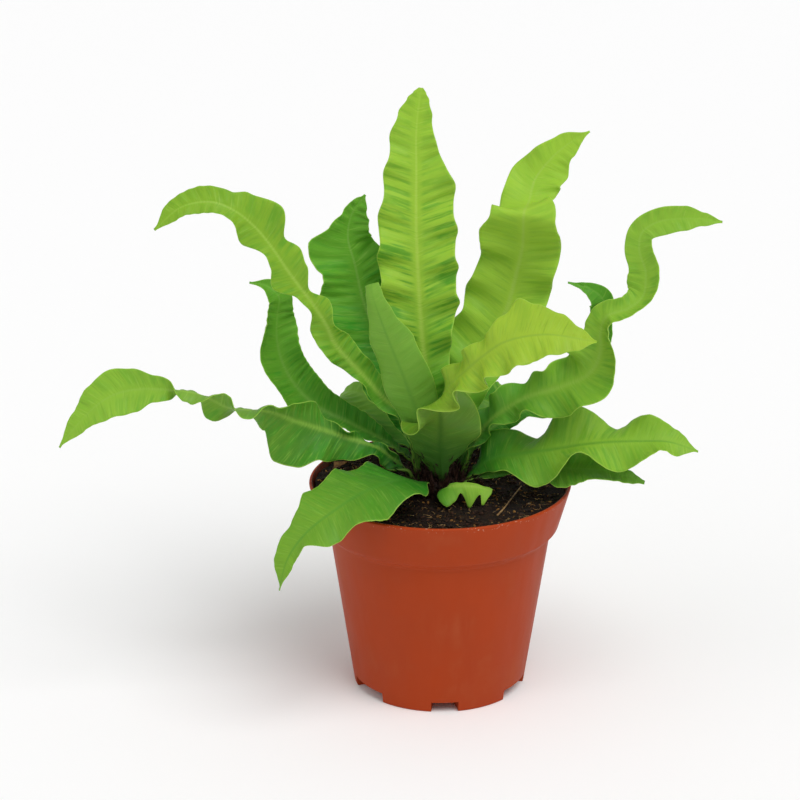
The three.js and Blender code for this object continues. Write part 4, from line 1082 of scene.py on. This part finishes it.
def blade_point(frond, row, s, pleats):
    """A place on the blade's middle surface, s from -1 at its left margin to 1 at its right."""
    hand = 0 if s < 0 else 1
    across = abs(s)
    turn = TURN * (row["waves"] + frond["phase"][hand] - frond["sweep"] * across)
    height = row["ruffle"][hand]
    grown = 1 + frond["lobe"] * math.cos(turn) * across * across * min(1, height)
    reach = across * row["halves"][hand] * grown
    wave = height * across ** WAVE_POWER * math.sin(turn)
    wave = min(max(wave, -STEEPEST * reach), STEEPEST * reach)
    flat = math.sqrt(reach * reach - wave * wave)
    fold = row["cup"] * across
    sideways = math.copysign(1, s) * (flat * math.cos(fold) - wave * math.sin(fold))
    lift = flat * math.sin(fold) + wave * math.cos(fold)
    place = row["point"] + row["side"] * sideways + row["up"] * lift
    if row["along"] > 0:
        start = smooth(0, PLEATS_START, row["along"])
        line = row["along"] - VEIN_SLANT * reach
        here = Vector((line / DRIFT_ALONG, math.copysign(reach, s) / DRIFT_ACROSS,
                       pleats["seed"]))
        drift = PLEAT_DRIFT * noise.noise(here)
        crest = math.sin(TURN * line / pleats["pitch"] + drift)
        crest += 0.5 * math.sin(TURN * line / (SECOND_PLEAT * pleats["pitch"])
                                - 2 * drift + hand)
        uneven = max(0, 0.75 + 1.1 * noise.noise(here * 2 + Vector((0, 0, 9))))
        strength = start * smooth(0.03, 0.4, across) * uneven
        bulge = start * across * noise.noise(place / BULGE_SIZE + Vector((7, 3, 1)))
        place += row["up"] * (pleats["height"] * strength * crest + BULGE * bulge)
    return place, math.copysign(reach, s)


def frond_blade(frond, settings):
    """A blade with two skins: a grid laid along the midrib and drawn out to its thickness."""
    rib = Midrib(frond["path"])
    foot = -rib.neck / (1 - rib.neck)
    rows = round(rib.length / settings.row_step)
    pleats = {"height": settings.pleat_height * LEAF_TONES[frond["name"]][5],
              "pitch": settings.pleat_pitch, "seed": rib.length}
    bm = bmesh.new()
    bmesh.ops.create_grid(bm, x_segments=settings.columns, y_segments=rows, size=1)
    blade = bm.verts.layers.float_vector.new("blade")
    leaf = bm.verts.layers.float_vector.new("leaf")
    facing = bm.verts.layers.float_vector.new("facing")
    frames = {}
    for vert in bm.verts:
        key = round(vert.co.y, 5)
        t = foot + (1 - foot) * (vert.co.y + 1) / 2
        if key not in frames:
            frames[key] = blade_frame(frond, rib, t)
        s = math.copysign(abs(vert.co.x) ** RIB_CROWDING, vert.co.x)
        row = frames[key]
        vert.co, across = blade_point(frond, row, s, pleats)
        vert[blade] = (across, row["along"], 0)
        vert[leaf] = (s, t, 0)
    bm.normal_update()
    for vert in bm.verts:
        vert[facing] = vert.normal
    lower = set(bm.verts)
    bmesh.ops.extrude_face_region(bm, geom=bm.faces[:], use_keep_orig=True)
    for vert in bm.verts:
        s, t = vert[leaf][0], vert[leaf][1]
        thin = BLADE_THICK - MARGIN_THINNER * smooth(0.85, 1, abs(s))
        half = (thin + (STALK_THICK - thin) * (1 - smooth(0, STALK_END, t))) / 2
        if vert in lower:
            rib_below = RIB_THICK * (1 - abs(s)) ** 3 * (1 - t)
            vert.co -= vert[facing] * (half + rib_below)
            vert[blade] = (vert[blade][0], vert[blade][1], 1)
        else:
            near_rib = 1 - smooth(*RIB_GROOVE_ENDS, abs(vert[blade][0]))
            vert.co += vert[facing] * (half - RIB_GROOVE * near_rib * smooth(0.05, 0.2, t))
    bmesh.ops.recalc_face_normals(bm, faces=bm.faces)
    return bm


def leaf_material(name, settings):
    """Living fern leaf: a thin waxy skin, satin and a little see-through, with close side veins
    that show as uneven streaks, a soft midrib and a fine pale margin. The dark streaks carry
    painted shade in the pleats' hollows, the pale vein lines partly a painted highlight on the
    pleats' ridges, and the foot of each blade is darkened as painted shade."""
    deep, bright, change, rib_above, rib_below, pleated = LEAF_TONES[name]
    material, tree = new_material("living leaf, " + name.replace("_", " "))
    place = add(tree, "TexCoord").outputs["Object"]
    (signed, along_rib, under), (side, tip, _) = (
        add(tree, "SeparateXYZ",
            {0: add(tree, "Attribute", attribute_name=layer).outputs["Vector"]}).outputs
        for layer in ("blade", "leaf"))
    across = add(tree, "Math", {0: signed}, operation="ABSOLUTE")
    vein_place = add(tree, "CombineXYZ", {
        0: add(tree, "Math", {0: across, 1: -VEIN_SLANT, 2: along_rib}, operation="MULTIPLY_ADD"),
        1: add(tree, "Math", {0: signed, 1: VEIN_STRETCH}, operation="MULTIPLY")})
    veins, pleats, cloud, skin = (
        add(tree, "TexNoise", {"Vector": where, "Scale": scale, "Detail": detail,
                               "Roughness": NOISE_ROUGHNESS})
        for where, scale, detail in (
            (vein_place, 2 / settings.vein_pitch, 2), (vein_place, 2 / settings.pleat_pitch, 1),
            (place, PER_MM / 14, 3), (place, PER_MM / 0.8, 2)))

    older = eased(tree, (tip, 0.02, change, -0.25, 0.75))
    toned = add(tree, "Math", {0: cloud, 1: 0.5, 2: older}, operation="MULTIPLY_ADD")
    mixed = add(tree, "Math", {0: veins, 1: 0.6, 2: pleats}, operation="MULTIPLY_ADD")
    # Dark green streaks along the side veins and pleats: partly the veins' own colour, partly painted
    # shade in the pleats' hollows.
    vein_streak_and_pleat_shade = eased(tree, (mixed, 0.74, 0.9, 0, 0.9 * pleated), (across, 1, 4, 0, 1),
                   (tip, 0.5, 0.95, 1, 0.3), (cloud, 0.4, 0.6, 0.5, 1))
    paler = add(tree, "Math", {0: under, 1: 0.2}, operation="MULTIPLY")
    rib_width = eased(tree, (tip, 0.1, 1, 2.2, 0.7))
    from_rib = add(tree, "Math", {0: across, 1: rib_width}, operation="DIVIDE")
    rib = eased(tree, (from_rib, 0, 1, 0.62, 0), (tip, 0.8, 1, 1, 0.35), (veins, 0.35, 0.6, 0.6, 1))
    out = add(tree, "Math", {0: side}, operation="ABSOLUTE")
    colour = painted(tree, deep, [
        (toned, bright),
        # Painted shade in the pleats' hollows, partly the veins' own darker colour.
        (vein_streak_and_pleat_shade, "#378C1E"),
        # Pale yellow-green lines along the side veins: partly the veins' own colour, partly a painted
        # highlight on the pleats' ridges, stronger on the more pleated fronds.
        (eased(tree, (veins, 0.52, 0.72, 0, 0.1 + 0.14 * pleated)), "#B5D45E"),
        (eased(tree, (veins, 0.28, 0.45, 0.22, 0)), deep),
        (paler, "#8DB255"),
        (rib, painted(tree, rib_above, [(under, rib_below)])),
        (eased(tree, (out, 0.965, 0.995, 0, 0.6)), opaque(settings.margin_colour[:])),
        # Painted shade: the foot of each frond, deep in the crown, is darkened.
        (eased(tree, (tip, 0, 0.2, 0.7, 0)), "#1E4A12"),
        (eased(tree, (tip, -0.02, 0.04, 1, 0)), "#241C10"),
    ])
    gloss = settings.gloss_roughness
    veined = add(tree, "Bump", {"Height": veins, "Distance": 0.3 * MM, "Strength": 0.45})
    pored = add(tree, "Bump", {"Height": skin, "Distance": 0.05 * MM, "Strength": 0.25,
                               "Normal": veined})
    surface(tree, {
        "Base Color": colour, "Normal": pored, "IOR": 1.42, "Specular IOR Level": 0.25,
        "Roughness": eased(tree, (cloud, 0.3, 0.7, gloss - 0.06, gloss + 0.1)),
        "Subsurface Weight": 0.2, "Subsurface Radius": (0.5, 1.0, 0.2),
        "Subsurface Scale": 1.2 * MM})
    return material


class FERN_OT_fronds(bpy.types.Operator):
    """Makes the fronds, each in the place of its solid"""
    bl_idname = "fern.fronds"
    bl_label = "Fronds"

    def execute(self, context):
        settings = context.scene.fern_leaf
        for frond in FRONDS:
            name = frond["name"]
            finish_piece(frond_blade(frond, settings), name.replace("frond", "leaf"),
                         [leaf_material(name, settings)], [name])
        return {"FINISHED"}


# --- stage ------------------------------------------------------------------------------------
CAMERA_PLACE = Vector((-0.0183, -1.1, 0.5267))
CAMERA_AIM = Vector((-0.0183, 0, 0.1366))
CAMERA_LENS = 116.3
CAMERA_SENSOR = 36
FLOOR_HALF = 40       # in metres, so that no edge shows


def soft_light(name, place, spread_degrees, strength):
    """A far white softbox, as wide as the angle that it fills seen from the plant."""
    data = bpy.data.lights.new(name, "SUN")
    data.angle = math.radians(spread_degrees)
    data.energy = strength
    light = bpy.data.objects.new(name, data)
    light.location = place
    light.rotation_mode = "QUATERNION"
    light.rotation_quaternion = (-Vector(place)).to_track_quat("-Z", "Y")
    bpy.context.scene.collection.objects.link(light)


class FERN_OT_stage(bpy.types.Operator):
    """Makes the plain floor, the soft light and the camera"""
    bl_idname = "fern.stage"
    bl_label = "Stage"

    def execute(self, context):
        settings = context.scene.fern_stage
        bm = bmesh.new()
        bmesh.ops.create_grid(bm, x_segments=1, y_segments=1, size=FLOOR_HALF)
        mesh = bpy.data.meshes.new("floor")
        bm.to_mesh(mesh)
        bm.free()
        floor = bpy.data.objects.new("floor", mesh)
        context.scene.collection.objects.link(floor)
        paper, tree = new_material("matte paper roll")
        surface(tree, {"Base Color": opaque(settings.floor[:]), "Roughness": 0.8,
                       "Specular IOR Level": 0.2})
        mesh.materials.append(paper)

        world = bpy.data.worlds.new("studio surround")
        world.use_nodes = True
        ground = world.node_tree.nodes["Background"]
        ground.inputs["Color"].default_value = opaque("#FFFFFF")
        ground.inputs["Strength"].default_value = settings.sky
        context.scene.world = world
        soft_light("key light", (0.6, -0.75, 1.5), 42, settings.key_strength)
        soft_light("fill light", (-1.1, -0.5, 0.7), 50, settings.fill_strength)

        data = bpy.data.cameras.new("photo camera")
        data.sensor_width = CAMERA_SENSOR
        data.lens = CAMERA_LENS
        camera = bpy.data.objects.new("photo camera", data)
        camera.location = CAMERA_PLACE
        camera.rotation_mode = "QUATERNION"
        camera.rotation_quaternion = (CAMERA_AIM - CAMERA_PLACE).to_track_quat("-Z", "Y")
        context.scene.collection.objects.link(camera)
        context.scene.camera = camera
        context.scene.view_settings.view_transform = "Standard"
        return {"FINISHED"}


class FERN_PT_panel(bpy.types.Panel):
    """Settings and makers of the potted fern"""
    bl_idname = "FERN_PT_panel"
    bl_label = "Potted Fern"
    bl_space_type = "VIEW_3D"
    bl_region_type = "UI"
    bl_category = "Fern"

    def draw(self, context):
        for group, (_, maker) in GROUPS.items():
            box = self.layout.box()
            settings = getattr(context.scene, group)
            for field in settings.__annotations__:
                box.prop(settings, field)
            box.operator(maker.bl_idname)


# The settings and the maker of each group of pieces.
GROUPS = {
    "fern_pot": (FernPotSettings, FERN_OT_pot),
    "fern_soil": (FernSoilSettings, FERN_OT_soil),
    "fern_crown": (FernCrownSettings, FERN_OT_crown),
    "fern_leaf": (FernLeafSettings, FERN_OT_fronds),
    "fern_stage": (FernStageSettings, FERN_OT_stage),
}
CLASSES = [kind for pair in GROUPS.values() for kind in pair] + [FERN_PT_panel]


def register():
    for kind in CLASSES:
        bpy.utils.register_class(kind)
    for name, (kind, _) in GROUPS.items():
        setattr(bpy.types.Scene, name, PointerProperty(type=kind))


def unregister():
    for name in GROUPS:
        delattr(bpy.types.Scene, name)
    for kind in reversed(CLASSES):
        bpy.utils.unregister_class(kind)


def main():
    register()
    bpy.ops.fern.stage()
    bpy.ops.fern.pot()
    bpy.ops.fern.soil()
    bpy.ops.fern.crown()
    bpy.ops.fern.fronds()


if __name__ == "__main__":
    main()
